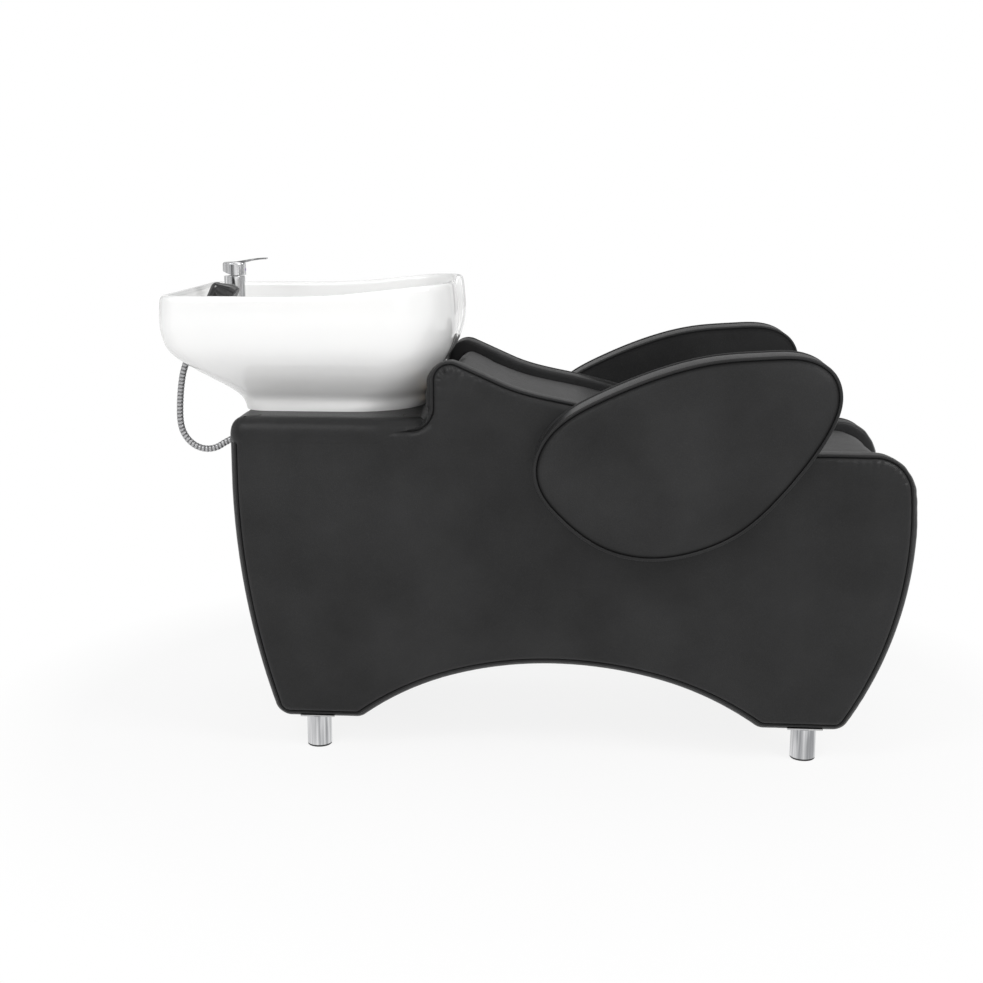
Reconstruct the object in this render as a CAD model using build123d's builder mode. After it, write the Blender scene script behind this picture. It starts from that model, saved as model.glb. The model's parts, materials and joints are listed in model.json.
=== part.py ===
"""Hair washing bed: an upholstered lounger on four legs, with a ceramic basin, a mixer and a hand shower.

Millimetres. +X runs from the basin to the front of the seat, +Z is up and the floor is z = 0.
The sitter's right side is -Y, and the model is built on that side and mirrored for the left.
"""
from build123d import *
import os
from math import cos, radians, sin, sqrt, tan

os.makedirs("parts", exist_ok=True)

# Base
base_width = 510.0
side_thickness = 65.0
base_rear = -598.0
base_front = 740.1
base_underside = 78.0
ledge_height = 672.0
step_x = -200.0
shoulder_height = 806.0
seat_height = 631.0
back_slope = 24.0
rear_foot_x = -515.0
rear_knee_z = 578.0
front_foot_x = 601.0
arch_rear = -357.0
arch_front = 467.0
arch_apex_x = 44.0
arch_apex_z = 203.0

# Upholstery
boxing_bulge = 9.0
boxing_depth = 12.0
cover_inset = 5.0
cover_thickness = 16.0
lining_thickness = 6.0
soft_edge = 14.0
cover_edge = 9.0
piping_radius = 3.5
welt_reach = 120.0
seat_recess = 20.0
cushion_crown = 6.0
cushion_thickness = 55.0
deck_thickness = 15.0
front_pad_thickness = 40.0
shelf_thickness = 18.0
shelf_pad_thickness = 13.0
shelf_pad_side = 8.0

# Corners of the side outline
ledge_corner = 18.0
step_corner = 45.0
shoulder_corner = 34.0
front_corner = 60.0
foot_corner = 22.0
arch_corner = 16.0

# Timber
rim_timber = 50.0
batten = 50.0
arm_batten_z = 520.0
rail_width = 40.0
rail_height = 40.0
board_thickness = 18.0

# Legs
leg_radius = 25.5
leg_wall = 2.0
leg_inset = 40.0
rear_leg_x = -443.5
front_leg_x = 555.5
leg_plate_thickness = 3.0
glide_height = 4.0
glide_plug = 14.0

# Arms
arm_rear = 5.5
arm_front = 576.5
arm_low = 443.0
arm_high = 835.0
arm_thickness = 100.0
arm_crown = 9.0
arm_core_inset = 28.0
arm_core_thickness = 36.0
arm_bolt_x = (150.0, 330.0)
bolt_radius = 4.0

# Basin
basin_back = -751.5
basin_neck = -164.5
basin_inset = 9.0
basin_width = base_width - 2 * basin_inset
basin_foot_z = 694.0
basin_height = 268.0
basin_wall = 20.0
rim_back_z = 934.0
rim_neck_z = 959.0
deck_z = 884.0
deck_thickness_china = 16.0
deck_front = -600.0
bowl_floor_z = 745.0
bowl_floor_thickness = 19.0
notch_width = 150.0
notch_floor_z = 838.0
notch_flare = 14.0
drain_x = -430.0

# Waste
waste_flange_radius = 36.0
waste_flange_thickness = 3.0
waste_radius = 22.0
waste_bore = 18.0
waste_nut_radius = 31.0
trap_radius = 32.0
trap_outlet_radius = 20.0
trap_outlet_length = 70.0

# Mixer
mixer_x = -646.5
mixer_radius = 22.0
mixer_top_z = 960.0
mixer_base_radius = 25.0
mixer_base_height = 5.0
shank_radius = 16.0
shank_length = 48.0
cap_radius = 24.5
cap_height = 27.0
lift_angle = 20.0
lever_reach = 71.0
lever_width = 18.0
lever_thickness = 6.0

# Hand shower
holder_y = -120.0
holder_x = -681.0
holder_tilt = 25.0
handle_radius = 14.0
head_radius = 25.0
hose_radius = 7.0
hose_bore = 4.5
rib_count = 40
rib_height = 0.8
grommet_z = 638.7
guide_length = 22.0
handle_drop = 56.0
elbow_rise = 62.0
head_length = 40.0
head_droop = 30.0
sleeve_wall = 3.0
sleeve_rest = 4.0
tail_recess = 3.0

# Clearances
gap = 0.3
running = 0.05
overrun = 30.0

standing = (Align.CENTER, Align.CENTER, Align.MIN)
hanging = (Align.CENTER, Align.CENTER, Align.MAX)
curve_steps = 8
welt_steps = 720
welt_sag = 0.25
welt_sides = 8
oval_steps = 24


def finish(piece, name):
    """Label one sub-part and write its file."""
    piece.part.label = name
    export_step(piece.part, f"parts/{name}.step")


def finish_pair(piece, name):
    """Write a right-hand sub-part and its mirrored left-hand twin."""
    finish(piece, f"{name}_right")
    with BuildPart() as twin:
        mirror(piece.part, about=Plane.XZ)
    finish(twin, f"{name}_left")


# Crown of a cushion: place across its half width, and how far it is sunk there
edge_shares = ((1.0, 1.0), (0.97, 0.45), (0.88, 0.1), (0.5, -0.25))
cushion_rise = -edge_shares[-1][1] * cushion_crown
cushion_crown_shares = [(-across, sunk) for across, sunk in edge_shares] + list(edge_shares[::-1])

# Side outline: the seam line between a side panel's face and its boxing
slope = radians(back_slope)
seat_run = base_front - step_x
seat_drop = shoulder_height - seat_height
seat_curve_shares = ((0.29, 0.555), (0.401, 0.412), (0.55, 0.172), (0.688, -0.008), (0.795, 0.0))
shoulder_end = Vector(
    step_x + shoulder_corner * (1 + sin(slope)), shoulder_height - shoulder_corner * (1 - cos(slope))
)
back_length_share = 0.1
slope_end = shoulder_end + Vector(cos(slope), -sin(slope)) * (seat_run * back_length_share)
seat_end_x = base_front - front_corner - cover_thickness
arch_share = 0.52
arch_rear_mid = Vector(arch_apex_x + (arch_rear - arch_apex_x) * arch_share, base_underside)
arch_front_mid = Vector(arch_apex_x + (arch_front - arch_apex_x) * arch_share, base_underside)
arch_mid_share = 0.765
arch_mid_z = base_underside + (arch_apex_z - base_underside) * arch_mid_share
front_lean = radians(8)

with BuildSketch(Plane.XZ) as side_profile:
    with BuildLine():
        ledge = Line((base_rear + ledge_corner, ledge_height), (step_x - step_corner, ledge_height))
        step_fillet = TangentArc([ledge @ 1, (step_x, ledge_height + step_corner)], tangent=ledge % 1)
        riser = Line(step_fillet @ 1, (step_x, shoulder_height - shoulder_corner))
        shoulder = TangentArc([riser @ 1, shoulder_end], tangent=riser % 1)
        back = Line(shoulder @ 1, slope_end)
        seat_points = [
            (step_x + seat_run * along, seat_height + seat_drop * up) for along, up in seat_curve_shares
        ]
        seat = Spline(back @ 1, *seat_points, (seat_end_x, seat_height), tangents=[back % 1, (1, 0)])
        nose_end = (
            seat_end_x + (base_front - seat_end_x) - front_corner * (1 - cos(front_lean)),
            seat_height - front_corner * (1 + sin(front_lean)),
        )
        nose = TangentArc([seat @ 1, nose_end], tangent=(1, 0))
        front = TangentArc([nose @ 1, (front_foot_x + foot_corner, base_underside)], tangent=nose % 1)
        Line(front @ 1, (arch_front, base_underside))
        arch_mid_front = (arch_front_mid.X, arch_mid_z)
        arch_mid_rear = (arch_rear_mid.X, arch_mid_z)
        apex = (arch_apex_x, arch_apex_z)
        crown_front = TangentArc([apex, arch_mid_front], tangent=(1, 0))
        TangentArc([crown_front @ 1, (arch_front, base_underside)], tangent=crown_front % 1)
        crown_rear = TangentArc([apex, arch_mid_rear], tangent=(-1, 0))
        TangentArc([crown_rear @ 1, (arch_rear, base_underside)], tangent=crown_rear % 1)
        Line((arch_rear, base_underside), (rear_foot_x, base_underside))
        TangentArc([(base_rear, rear_knee_z), (rear_foot_x, base_underside)], tangent=(0, -1))
        rear_wall = Line((base_rear, rear_knee_z), (base_rear, ledge_height - ledge_corner))
        TangentArc([rear_wall @ 1, ledge @ 0], tangent=(0, 1))
    make_face()
    soles = side_profile.vertices().group_by(Axis.Y)[0].sort_by(Axis.X)
    fillet([soles[0], soles[-1]], foot_corner)
    soles = side_profile.vertices().group_by(Axis.Y)[0].sort_by(Axis.X)
    fillet(soles[1:-1], arch_corner)


def drawn_in(inset):
    """The side outline moved inwards by inset, drawn again with plain lines, arcs and splines."""
    with BuildSketch() as moved:
        add(side_profile.sketch_local)
        if inset:
            offset(amount=-inset, kind=Kind.ARC, mode=Mode.REPLACE)
    with BuildSketch() as plain:
        with BuildLine():
            for edge in moved.face().outer_wire().edges():
                if edge.geom_type == GeomType.LINE:
                    Line(edge @ 0, edge @ 1)
                elif edge.geom_type == GeomType.CIRCLE:
                    ThreePointArc(edge @ 0, edge @ 0.5, edge @ 1)
                else:
                    along = [edge @ (step / curve_steps) for step in range(curve_steps + 1)]
                    Spline(*along, tangents=[edge % 0, edge % 1])
        make_face()
    return plain.sketch


def layer(near, far, inset):
    """A slab of the side outline, drawn in by inset, from near to far of the centre plane."""
    with BuildPart() as slab:
        with BuildSketch(Plane.XZ.offset(near)):
            add(drawn_in(inset))
        extrude(amount=far - near)
    return slab.part


def band_face(outer_inset, inner_inset, window):
    """The part of a band along the side outline that lies in a window of (x, z) corners."""
    with BuildSketch(mode=Mode.PRIVATE) as face:
        add(drawn_in(outer_inset))
        add(drawn_in(inner_inset), mode=Mode.SUBTRACT)
        with BuildSketch(mode=Mode.PRIVATE) as view:
            with BuildLine():
                Polyline(*window, close=True)
            make_face()
        add(view.sketch, mode=Mode.INTERSECT)
    return face.sketch


def band(near, far, outer_inset, inner_inset, window):
    """A band of even section from near to far of the centre plane."""
    with BuildPart() as strip:
        with BuildSketch(Plane.XZ.offset(near)):
            add(band_face(outer_inset, inner_inset, window))
        extrude(amount=far - near)
    return strip.part


def cushion(half, outer_inset, inner_inset, window):
    """A band whose outer face is crowned across its width and drawn in along both long edges."""
    with BuildPart() as pad:
        for along, sunk in cushion_crown_shares:
            with BuildSketch(Plane.XZ.offset(along * half)):
                add(band_face(outer_inset + sunk * cushion_crown, inner_inset, window))
        loft(ruled=True)
    return pad.part


def places_round(wire):
    """Planes across a closed wire, set closer together where it turns."""
    places = []
    turned = reach = 0
    before = wire.tangent_at(0)
    fine_step = wire.length / welt_steps
    for step in range(welt_steps):
        tangent = wire.tangent_at(step * fine_step, PositionMode.LENGTH)
        turned += before.get_angle(tangent)
        reach += fine_step
        before = tangent
        if not places or radians(turned) * reach > 8 * welt_sag or reach > welt_reach:
            origin = wire.position_at(step * fine_step, PositionMode.LENGTH)
            places.append(Plane(origin=origin, x_dir=(0, 1, 0), z_dir=tangent))
            turned = reach = 0
    return places


def welt(places):
    """A faceted cord through a list of planes."""
    with BuildPart() as cord:
        for place in places:
            with BuildSketch(place):
                RegularPolygon(piping_radius, welt_sides)
        loft(ruled=True)
    return cord.part


# Side panels, from the channel outwards: lining, timber frame, cover, with the boxing round the edge
half_width = base_width / 2
lining_y = half_width - side_thickness
frame_y = lining_y + lining_thickness
cover_y = half_width - cover_thickness

with BuildPart() as side_lining:
    add(layer(lining_y, frame_y, boxing_depth))

with BuildPart() as side_frame:
    add(layer(frame_y, cover_y, boxing_depth))
    add(layer(frame_y, cover_y, boxing_depth + rim_timber), mode=Mode.SUBTRACT)
    with BuildPart(mode=Mode.PRIVATE) as battens:
        post_height = shoulder_height
        for post_x in (step_x, (arm_bolt_x[0] + arm_bolt_x[1]) / 2):
            with Locations((post_x, -(frame_y + cover_y) / 2, post_height / 2)):
                Box(batten, cover_y - frame_y, post_height)
        with Locations(((base_rear + base_front) / 2, -(frame_y + cover_y) / 2, arm_batten_z)):
            Box(base_front - base_rear, cover_y - frame_y, batten)
        add(layer(frame_y, cover_y, boxing_depth + rim_timber), mode=Mode.INTERSECT)
    add(battens.part)

with BuildPart() as side_cover:
    add(layer(cover_y, half_width, cover_inset))
    fillet(side_cover.faces().sort_by(Axis.Y)[0].edges(), cover_edge)

with BuildPart() as side_border:
    add(layer(lining_y, cover_y, -boxing_bulge))
    border_faces = side_border.faces().sort_by(Axis.Y)
    fillet(border_faces[0].edges() + border_faces[-1].edges(), soft_edge)
    add(layer(lining_y, cover_y, boxing_depth), mode=Mode.SUBTRACT)


leg_y = half_width - leg_inset
leg_spots = [(leg_x, -leg_y) for leg_x in (rear_leg_x, front_leg_x)]
plate_top = base_underside - boxing_bulge
screw_radius = leg_plate_thickness * 0.8
screw_spread = leg_radius + 2 * screw_radius + gap
screw_length = base_underside - plate_top + rim_timber
screw_spots = [(x + side * screw_spread, y) for x, y in leg_spots for side in (-1, 1)]
arm_bolt_spots = [(x, arm_batten_z) for x in arm_bolt_x]

with BuildPart(mode=Mode.PRIVATE) as fixing_holes:
    with Locations(*[(x, y, plate_top) for x, y in screw_spots]):
        Cylinder(screw_radius, screw_length, align=standing)
    with BuildSketch(Plane.XZ.offset(lining_y)):
        with Locations(*arm_bolt_spots):
            Circle(bolt_radius)
    extrude(amount=side_thickness)

for piece in (side_lining, side_frame, side_cover, side_border):
    with piece:
        add(fixing_holes.part, mode=Mode.SUBTRACT)

# Piping: a welt in the corner between the cover and the boxing, all round but for the ledge
piping_inset = cover_inset - piping_radius - gap - welt_sag
piping_y = cover_y + piping_radius
with BuildSketch(Plane.XZ.offset(piping_y), mode=Mode.PRIVATE) as piping_path:
    add(drawn_in(piping_inset))
piping_places = places_round(piping_path.sketch.face().outer_wire())
bare_from = base_rear + ledge_corner
bare_to = step_x - step_corner
seam_places = [
    place
    for place in piping_places
    if place.origin.Z < ledge_height - ledge_corner or not bare_from < place.origin.X < bare_to
]
seam_steps = zip(seam_places[-1:] + seam_places, seam_places)
breaks = [(here.origin - before.origin).length for before, here in seam_steps]
first = breaks.index(max(breaks))
with BuildPart() as side_piping:
    add(welt(seam_places[first:] + seam_places[:first]))

for piece, name in (
    (side_lining, "side_lining"),
    (side_frame, "side_frame"),
    (side_cover, "side_cover"),
    (side_border, "side_border"),
    (side_piping, "side_piping"),
):
    finish_pair(piece, name)

# Channel between the side panels: cushion, deck, front and riser pads with their boards
channel = lining_y
deck_outer = seat_recess + cushion_thickness
deck_inner = deck_outer + deck_thickness
board_inner = seat_recess + front_pad_thickness
pad_y = channel - gap
riser_top = shoulder_height - 2 * shoulder_corner
riser_back = step_x + seat_recess + cushion_thickness + deck_thickness
front_split = seat_height - front_corner - cushion_thickness / 5
cushion_window = (
    (step_x, shoulder_height + overrun),
    (step_x, riser_top),
    (riser_back + overrun, riser_top),
    (riser_back + overrun, arm_batten_z - batten),
    (base_front - seat_recess - cushion_thickness - deck_thickness - overrun / 3, arm_batten_z - batten),
    (base_front - seat_recess - cushion_thickness - deck_thickness - overrun / 3, front_split),
    (base_front + overrun, front_split),
    (base_front + overrun, shoulder_height + overrun),
)
front_low = base_underside + 2 * rail_height
front_window = (
    (base_front - deck_outer - deck_thickness, front_split),
    (base_front, front_split),
    (base_front, front_low),
    (front_foot_x - rail_width, front_low),
)
shelf_top = ledge_height + boxing_bulge
riser_window = (
    (step_x, riser_top),
    (riser_back + overrun, riser_top),
    (riser_back + overrun, shelf_top),
    (step_x, shelf_top),
)

with BuildPart() as seat_cushion:
    add(cushion(pad_y, seat_recess, deck_outer, cushion_window))

with BuildPart() as seat_deck:
    add(band(-channel, channel, deck_outer, deck_inner, cushion_window))

with BuildPart() as front_pad:
    add(cushion(pad_y, seat_recess, board_inner, front_window))

with BuildPart() as front_board:
    add(band(-channel, channel, board_inner, board_inner + deck_thickness, front_window))

with BuildPart() as riser_pad:
    add(cushion(pad_y, seat_recess, board_inner, riser_window))

with BuildPart() as riser_board:
    add(band(-channel, channel, board_inner, board_inner + deck_thickness, riser_window))

for piece, name in (
    (seat_cushion, "seat_cushion"),
    (seat_deck, "seat_deck"),
    (front_pad, "front_pad"),
    (front_board, "front_board"),
    (riser_pad, "riser_pad"),
    (riser_board, "riser_board"),
):
    finish(piece, name)

# Places of the basin's bolts over the ledge
basin_length = basin_neck - basin_back
basin_half = basin_width / 2
basin_bolt_spots = [
    (basin_back + basin_length * along, side * basin_half * out)
    for along, out in ((0.44, 0.42), (0.78, 0.34))
    for side in (-1, 1)
]

# Ledge: a board between the side panels and a pad over their tops, up to the riser
shelf_rear = base_rear + boxing_depth + board_thickness
with BuildPart() as shelf_board:
    with Locations(((shelf_rear + riser_back) / 2, 0, shelf_top - shelf_thickness / 2)):
        Box(riser_back - shelf_rear, 2 * channel, shelf_thickness)
    with Locations((drain_x, 0, shelf_top - shelf_thickness / 2)):
        Hole(trap_radius + overrun / 4)
    with Locations(*[(x, y, shelf_top - shelf_thickness / 2) for x, y in basin_bolt_spots]):
        Hole(bolt_radius + gap)

with BuildPart() as shelf_pad:
    pad_rear = base_rear - boxing_bulge
    pad_half = half_width - shelf_pad_side
    with BuildSketch(Plane.XY.offset(shelf_top)):
        with Locations(((pad_rear + riser_back) / 2, 0)):
            Rectangle(riser_back - pad_rear, 2 * pad_half)
    extrude(amount=shelf_pad_thickness)
    fillet(shelf_pad.edges().filter_by(Axis.Z).group_by(Axis.X)[0], soft_edge)
    top_edges = shelf_pad.faces().sort_by(Axis.Z)[-1].edges()
    fillet(top_edges, shelf_pad_side)
    with BuildPart(mode=Mode.PRIVATE) as panel_space:
        add(layer(lining_y - gap, half_width, -boxing_bulge))
        mirror(panel_space.part, about=Plane.XZ)
        add(layer(-channel, channel, seat_recess - cushion_rise - gap))
    add(panel_space.part, mode=Mode.SUBTRACT)
    with Locations((drain_x, 0, shelf_top + shelf_pad_thickness / 2)):
        Hole(trap_radius + overrun / 4)
    with Locations(*[(x, y, shelf_top + shelf_pad_thickness / 2) for x, y in basin_bolt_spots]):
        Hole(bolt_radius + gap)

# Rear service panel with the shower hose's grommet and a passage for the drain pipe
tail_low = shelf_top - shelf_thickness - rail_height / 2
trap_top = tail_low + rail_height / 4
outlet_z = trap_top - rail_height / 2 - 1.75 * trap_outlet_radius
panel_low = base_underside + 2 * rail_height
panel_top = shelf_top - gap
grommet_radius = 2 * hose_radius
panel_outer = boxing_depth - gap
with BuildPart() as rear_panel:
    add(
        band(
            -channel,
            channel,
            panel_outer,
            boxing_depth + board_thickness,
            (
                (base_rear, panel_top),
                (shelf_rear, panel_top),
                (shelf_rear, rear_knee_z),
                (rear_foot_x + 2 * rail_width, panel_low),
                (base_rear, panel_low),
            ),
        )
    )
    with Locations(Location((base_rear, holder_y, grommet_z), (0, 90, 0))):
        Cylinder(grommet_radius, 4 * board_thickness, mode=Mode.SUBTRACT)
    with Locations(Location((base_rear, 0, outlet_z), (0, 90, 0))):
        Cylinder(trap_outlet_radius * 1.5, 4 * board_thickness, mode=Mode.SUBTRACT)


rail_x = (base_rear + boxing_depth + board_thickness + rail_width / 2, riser_back - rail_width)
rail_z = shelf_top - shelf_thickness - rail_height / 2
panel_screw_radius = board_thickness / 8
panel_screw_length = board_thickness + rail_width / 2
panel_screw_places = [(channel * across, rail_z) for across in (-0.8, -0.25, 0.25, 0.8)]
with BuildPart(mode=Mode.PRIVATE) as panel_screw_space:
    with BuildSketch(Plane.YZ.offset(base_rear)):
        with Locations(*panel_screw_places):
            Circle(panel_screw_radius)
    extrude(amount=panel_outer + panel_screw_length)

with BuildPart() as shelf_rails:
    with Locations(*[(x, 0, rail_z) for x in rail_x]):
        Box(rail_width, 2 * channel, rail_height)
    with BuildSketch(Plane.YZ.offset(base_rear + boxing_depth)):
        with Locations((holder_y, grommet_z)):
            Circle(grommet_radius)
    extrude(amount=board_thickness + rail_width, mode=Mode.SUBTRACT)
    add(panel_screw_space.part, mode=Mode.SUBTRACT)

with rear_panel:
    add(panel_screw_space.part, mode=Mode.SUBTRACT)

bottom_rail_z = base_underside + boxing_depth + rail_height / 2
with BuildPart() as bottom_rails:
    with Locations(*[(x, 0, bottom_rail_z) for x in (rear_leg_x, front_leg_x)]):
        Box(rail_width, 2 * channel, rail_height)

with BuildPart() as rail_back:
    with Locations((arch_apex_x - rail_width, 0, seat_height)):
        Box(rail_width, 2 * channel, 4 * rail_height)
    add(layer(-channel, channel, deck_inner), mode=Mode.INTERSECT)
    add(layer(-channel, channel, deck_inner + rail_height), mode=Mode.SUBTRACT)

with BuildPart() as rail_seat:
    with Locations((front_foot_x, 0, seat_height - deck_inner - rail_height / 2)):
        Box(rail_width, 2 * channel, rail_height)

flange_x = base_rear + panel_outer - grommet_radius / 4
with BuildPart() as hose_grommet:
    with BuildSketch(Plane((flange_x, holder_y, grommet_z), z_dir=(1, 0, 0))):
        Circle(grommet_radius + grommet_radius / 4)
        Circle(hose_radius + gap, mode=Mode.SUBTRACT)
    extrude(amount=grommet_radius / 4)
    with BuildSketch(Plane((base_rear + panel_outer, holder_y, grommet_z), z_dir=(1, 0, 0))):
        Circle(grommet_radius)
        Circle(hose_radius + gap, mode=Mode.SUBTRACT)
    extrude(amount=board_thickness + grommet_radius / 4)

# Legs
leg_top = plate_top - leg_plate_thickness
with BuildPart() as leg:
    with Locations((0, 0, glide_height)):
        Cylinder(leg_radius, leg_top - glide_height, align=standing)
        Cylinder(
            leg_radius - leg_wall,
            leg_top - glide_height - leg_wall,
            align=standing,
            mode=Mode.SUBTRACT,
        )

with BuildPart() as glide:
    Cylinder(leg_radius - leg_wall / 4, glide_height, align=standing)
    chamfer(glide.edges().group_by(Axis.Z)[0], glide_height / 5)
    Cylinder(leg_radius - leg_wall, glide_plug, align=standing)
    fillet(glide.edges().group_by(Axis.Z)[-1], leg_wall)

for end, leg_x in (("rear", rear_leg_x), ("front", front_leg_x)):
    for side, sign in (("right", -1), ("left", 1)):
        with BuildPart() as placed:
            with Locations((leg_x, sign * leg_y, 0)):
                add(leg.part)
        finish(placed, f"leg_{end}_{side}")

with BuildPart() as glides:
    with Locations(*[(x, sign * leg_y, 0) for x in (rear_leg_x, front_leg_x) for sign in (-1, 1)]):
        add(glide.part)

with BuildPart() as leg_fixings:
    with Locations(*[(x, y, leg_top) for x, y in leg_spots]):
        Box(
            2 * (screw_spread + 2 * screw_radius),
            2 * (leg_inset - cover_thickness),
            leg_plate_thickness,
            align=standing,
        )
    with Locations(*[(x, y, leg_top - screw_radius) for x, y in screw_spots]):
        Cylinder(2 * screw_radius, screw_radius, align=standing)
    with Locations(*[(x, y, plate_top) for x, y in screw_spots]):
        Cylinder(screw_radius, screw_length, align=standing)
    mirror(leg_fixings.part, about=Plane.XZ)

for piece, name in (
    (shelf_board, "shelf_board"),
    (shelf_pad, "shelf_pad"),
    (rear_panel, "rear_panel"),
    (shelf_rails, "shelf_rails"),
    (bottom_rails, "bottom_rails"),
    (rail_back, "rail_back"),
    (rail_seat, "rail_seat"),
    (hose_grommet, "hose_grommet"),
    (glides, "glides"),
    (leg_fixings, "leg_fixings"),
):
    finish(piece, name)

# Arm pods: a timber core in a padded oval with a crowned face and two welts
arm_outline_shares = (
    (0.0, 0.4515), (0.035, 0.592), (0.084, 0.671), (0.2154, 0.788), (0.41, 0.908), (0.602, 0.98),
    (0.762, 1.0), (0.907, 0.987), (0.974, 0.921), (1.0, 0.801), (0.981, 0.681), (0.921, 0.5204),
    (0.8144, 0.3138), (0.688, 0.1378), (0.557, 0.0434), (0.392, 0.0), (0.2242, 0.0536),
    (0.0893, 0.1964), (0.0105, 0.352),
)


with BuildLine(mode=Mode.PRIVATE) as arm_oval:
    Spline(
        *[
            (arm_rear + (arm_front - arm_rear) * along, arm_low + (arm_high - arm_low) * up)
            for along, up in arm_outline_shares
        ],
        periodic=True,
    )
oval_wire = arm_oval.wires()[0]


def arm_section(out, inset):
    """The arm's oval at a distance out from the centre plane, drawn in by inset."""
    with BuildSketch(Plane.XZ.offset(out), mode=Mode.PRIVATE) as section:
        with BuildLine():
            points = []
            for step in range(oval_steps):
                here = oval_wire @ (step / oval_steps)
                along = oval_wire % (step / oval_steps)
                points.append(here + Vector(along.Y, -along.X) * inset)
            Spline(*points, periodic=True)
        make_face()
    return section.sketch


arm_inner = half_width
crown_share = 0.7
arm_outer = half_width + arm_thickness
with BuildPart() as arm_pad:
    for out, inset in (
        (arm_inner, soft_edge / 2),
        (arm_inner + soft_edge / 2, 0),
        (arm_outer - soft_edge / 2, 0),
        (arm_outer, soft_edge / 2),
    ):
        add(arm_section(out, inset))
    loft(ruled=True)
    for out, inset in (
        (arm_outer, soft_edge / 2),
        (arm_outer + arm_crown * crown_share, 2 * soft_edge),
        (arm_outer + arm_crown, 4 * soft_edge),
    ):
        add(arm_section(out, inset))
    loft(ruled=True)

with BuildPart(mode=Mode.PRIVATE) as arm_core_space:
    for out in (arm_inner, arm_inner + arm_core_thickness):
        add(arm_section(out, arm_core_inset))
    loft(ruled=True)

with BuildPart() as arm_core:
    add(arm_core_space.part)
    with BuildSketch(Plane.XZ.offset(arm_inner)):
        with Locations(*arm_bolt_spots):
            Circle(bolt_radius)
    extrude(amount=arm_core_thickness, mode=Mode.SUBTRACT)

# Each welt lies on the bevel between the arm's edge and its face
welt_inset = soft_edge / 2 - piping_radius - (piping_radius + gap + welt_sag) * sqrt(2)
with BuildPart() as arm_piping:
    for out in (arm_inner + piping_radius, arm_outer - piping_radius):
        ring = places_round(arm_section(out, welt_inset).face().outer_wire())
        half_way = len(ring) // 2
        add(welt(ring[: half_way + 1]))
        add(welt(ring[half_way:] + ring[:1]))

with arm_pad:
    add(arm_core_space.part, mode=Mode.SUBTRACT)

bolt_head_radius = 2 * bolt_radius
bolt_length = side_thickness + arm_core_thickness
with BuildPart() as arm_bolts:
    with BuildSketch(Plane.XZ.offset(lining_y)):
        with Locations(*arm_bolt_spots):
            Circle(bolt_radius)
    extrude(amount=bolt_length)
    with BuildSketch(Plane.XZ.offset(lining_y - bolt_radius)):
        with Locations(*arm_bolt_spots):
            RegularPolygon(bolt_head_radius, 6)
    extrude(amount=bolt_radius)
    mirror(arm_bolts.part, about=Plane.XZ)

for piece, name in ((arm_core, "arm_core"), (arm_pad, "arm_pad"), (arm_piping, "arm_piping")):
    finish_pair(piece, name)
finish(arm_bolts, "arm_bolts")

with BuildPart() as rear_panel_screws:
    with BuildSketch(Plane.YZ.offset(base_rear + panel_outer)):
        with Locations(*panel_screw_places):
            Circle(panel_screw_radius)
    extrude(amount=panel_screw_length)
    with BuildSketch(Plane.YZ.offset(base_rear + panel_outer)):
        with Locations(*panel_screw_places):
            Circle(2 * panel_screw_radius)
    extrude(amount=-panel_screw_radius)
    fillet(rear_panel_screws.edges().group_by(Axis.X)[0], panel_screw_radius / 2)
finish(rear_panel_screws, "rear_panel_screws")

# Basin: glazed ceramic, walls lofted through level sections from the foot to the rim
foot_share = 0.082
foot_shares = ((0.0, 0.253, 0.877, 0.638), (0.03, 0.253, 0.875, 0.634), (foot_share, 0.243, 0.878, 0.61))
body_shares = (
    (foot_share, 0.243, 0.878, 0.61),
    (0.164, 0.205, 0.899, 0.683),
    (0.306, 0.108, 0.934, 0.837),
    (0.459, 0.023, 0.977, 0.951),
    (0.619, 0.0, 1.0, 0.992),
    (0.825, 0.0, 1.0, 1.0),
    (1.0, 0.006, 0.991, 0.992),
)
back_corner_share = 0.16
neck_corner_share = 0.5


def basin_section(height, back, neck, half, back_corner, neck_corner):
    """A level section of the basin: two small corners at the back and two large ones at the neck."""
    with BuildSketch(Plane.XY.offset(height), mode=Mode.PRIVATE) as section:
        with BuildLine():
            Line((neck - neck_corner, -half), (back + back_corner, -half))
            TangentArc([(back + back_corner, -half), (back, -half + back_corner)], tangent=(-1, 0))
            Line((back, -half + back_corner), (back, half - back_corner))
            TangentArc([(back, half - back_corner), (back + back_corner, half)], tangent=(0, 1))
            Line((back + back_corner, half), (neck - neck_corner, half))
            TangentArc([(neck - neck_corner, half), (neck, half - neck_corner)], tangent=(1, 0))
            Line((neck, half - neck_corner), (neck, -half + neck_corner))
            TangentArc([(neck, -half + neck_corner), (neck - neck_corner, -half)], tangent=(0, -1))
        make_face()
    return section.sketch


def shared_section(up, back, neck, width, inset=0.0):
    """A basin section from one row of shares, drawn in by inset."""
    half = basin_half * width - inset
    lowness = 1 - min(1.0, up / body_shares[4][0])
    back_corner = half * (back_corner_share + back_corner_share * lowness)
    return basin_section(
        basin_foot_z + basin_height * up,
        basin_back + basin_length * back + inset,
        basin_back + basin_length * neck - inset,
        half,
        back_corner,
        half * neck_corner_share,
    )


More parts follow.
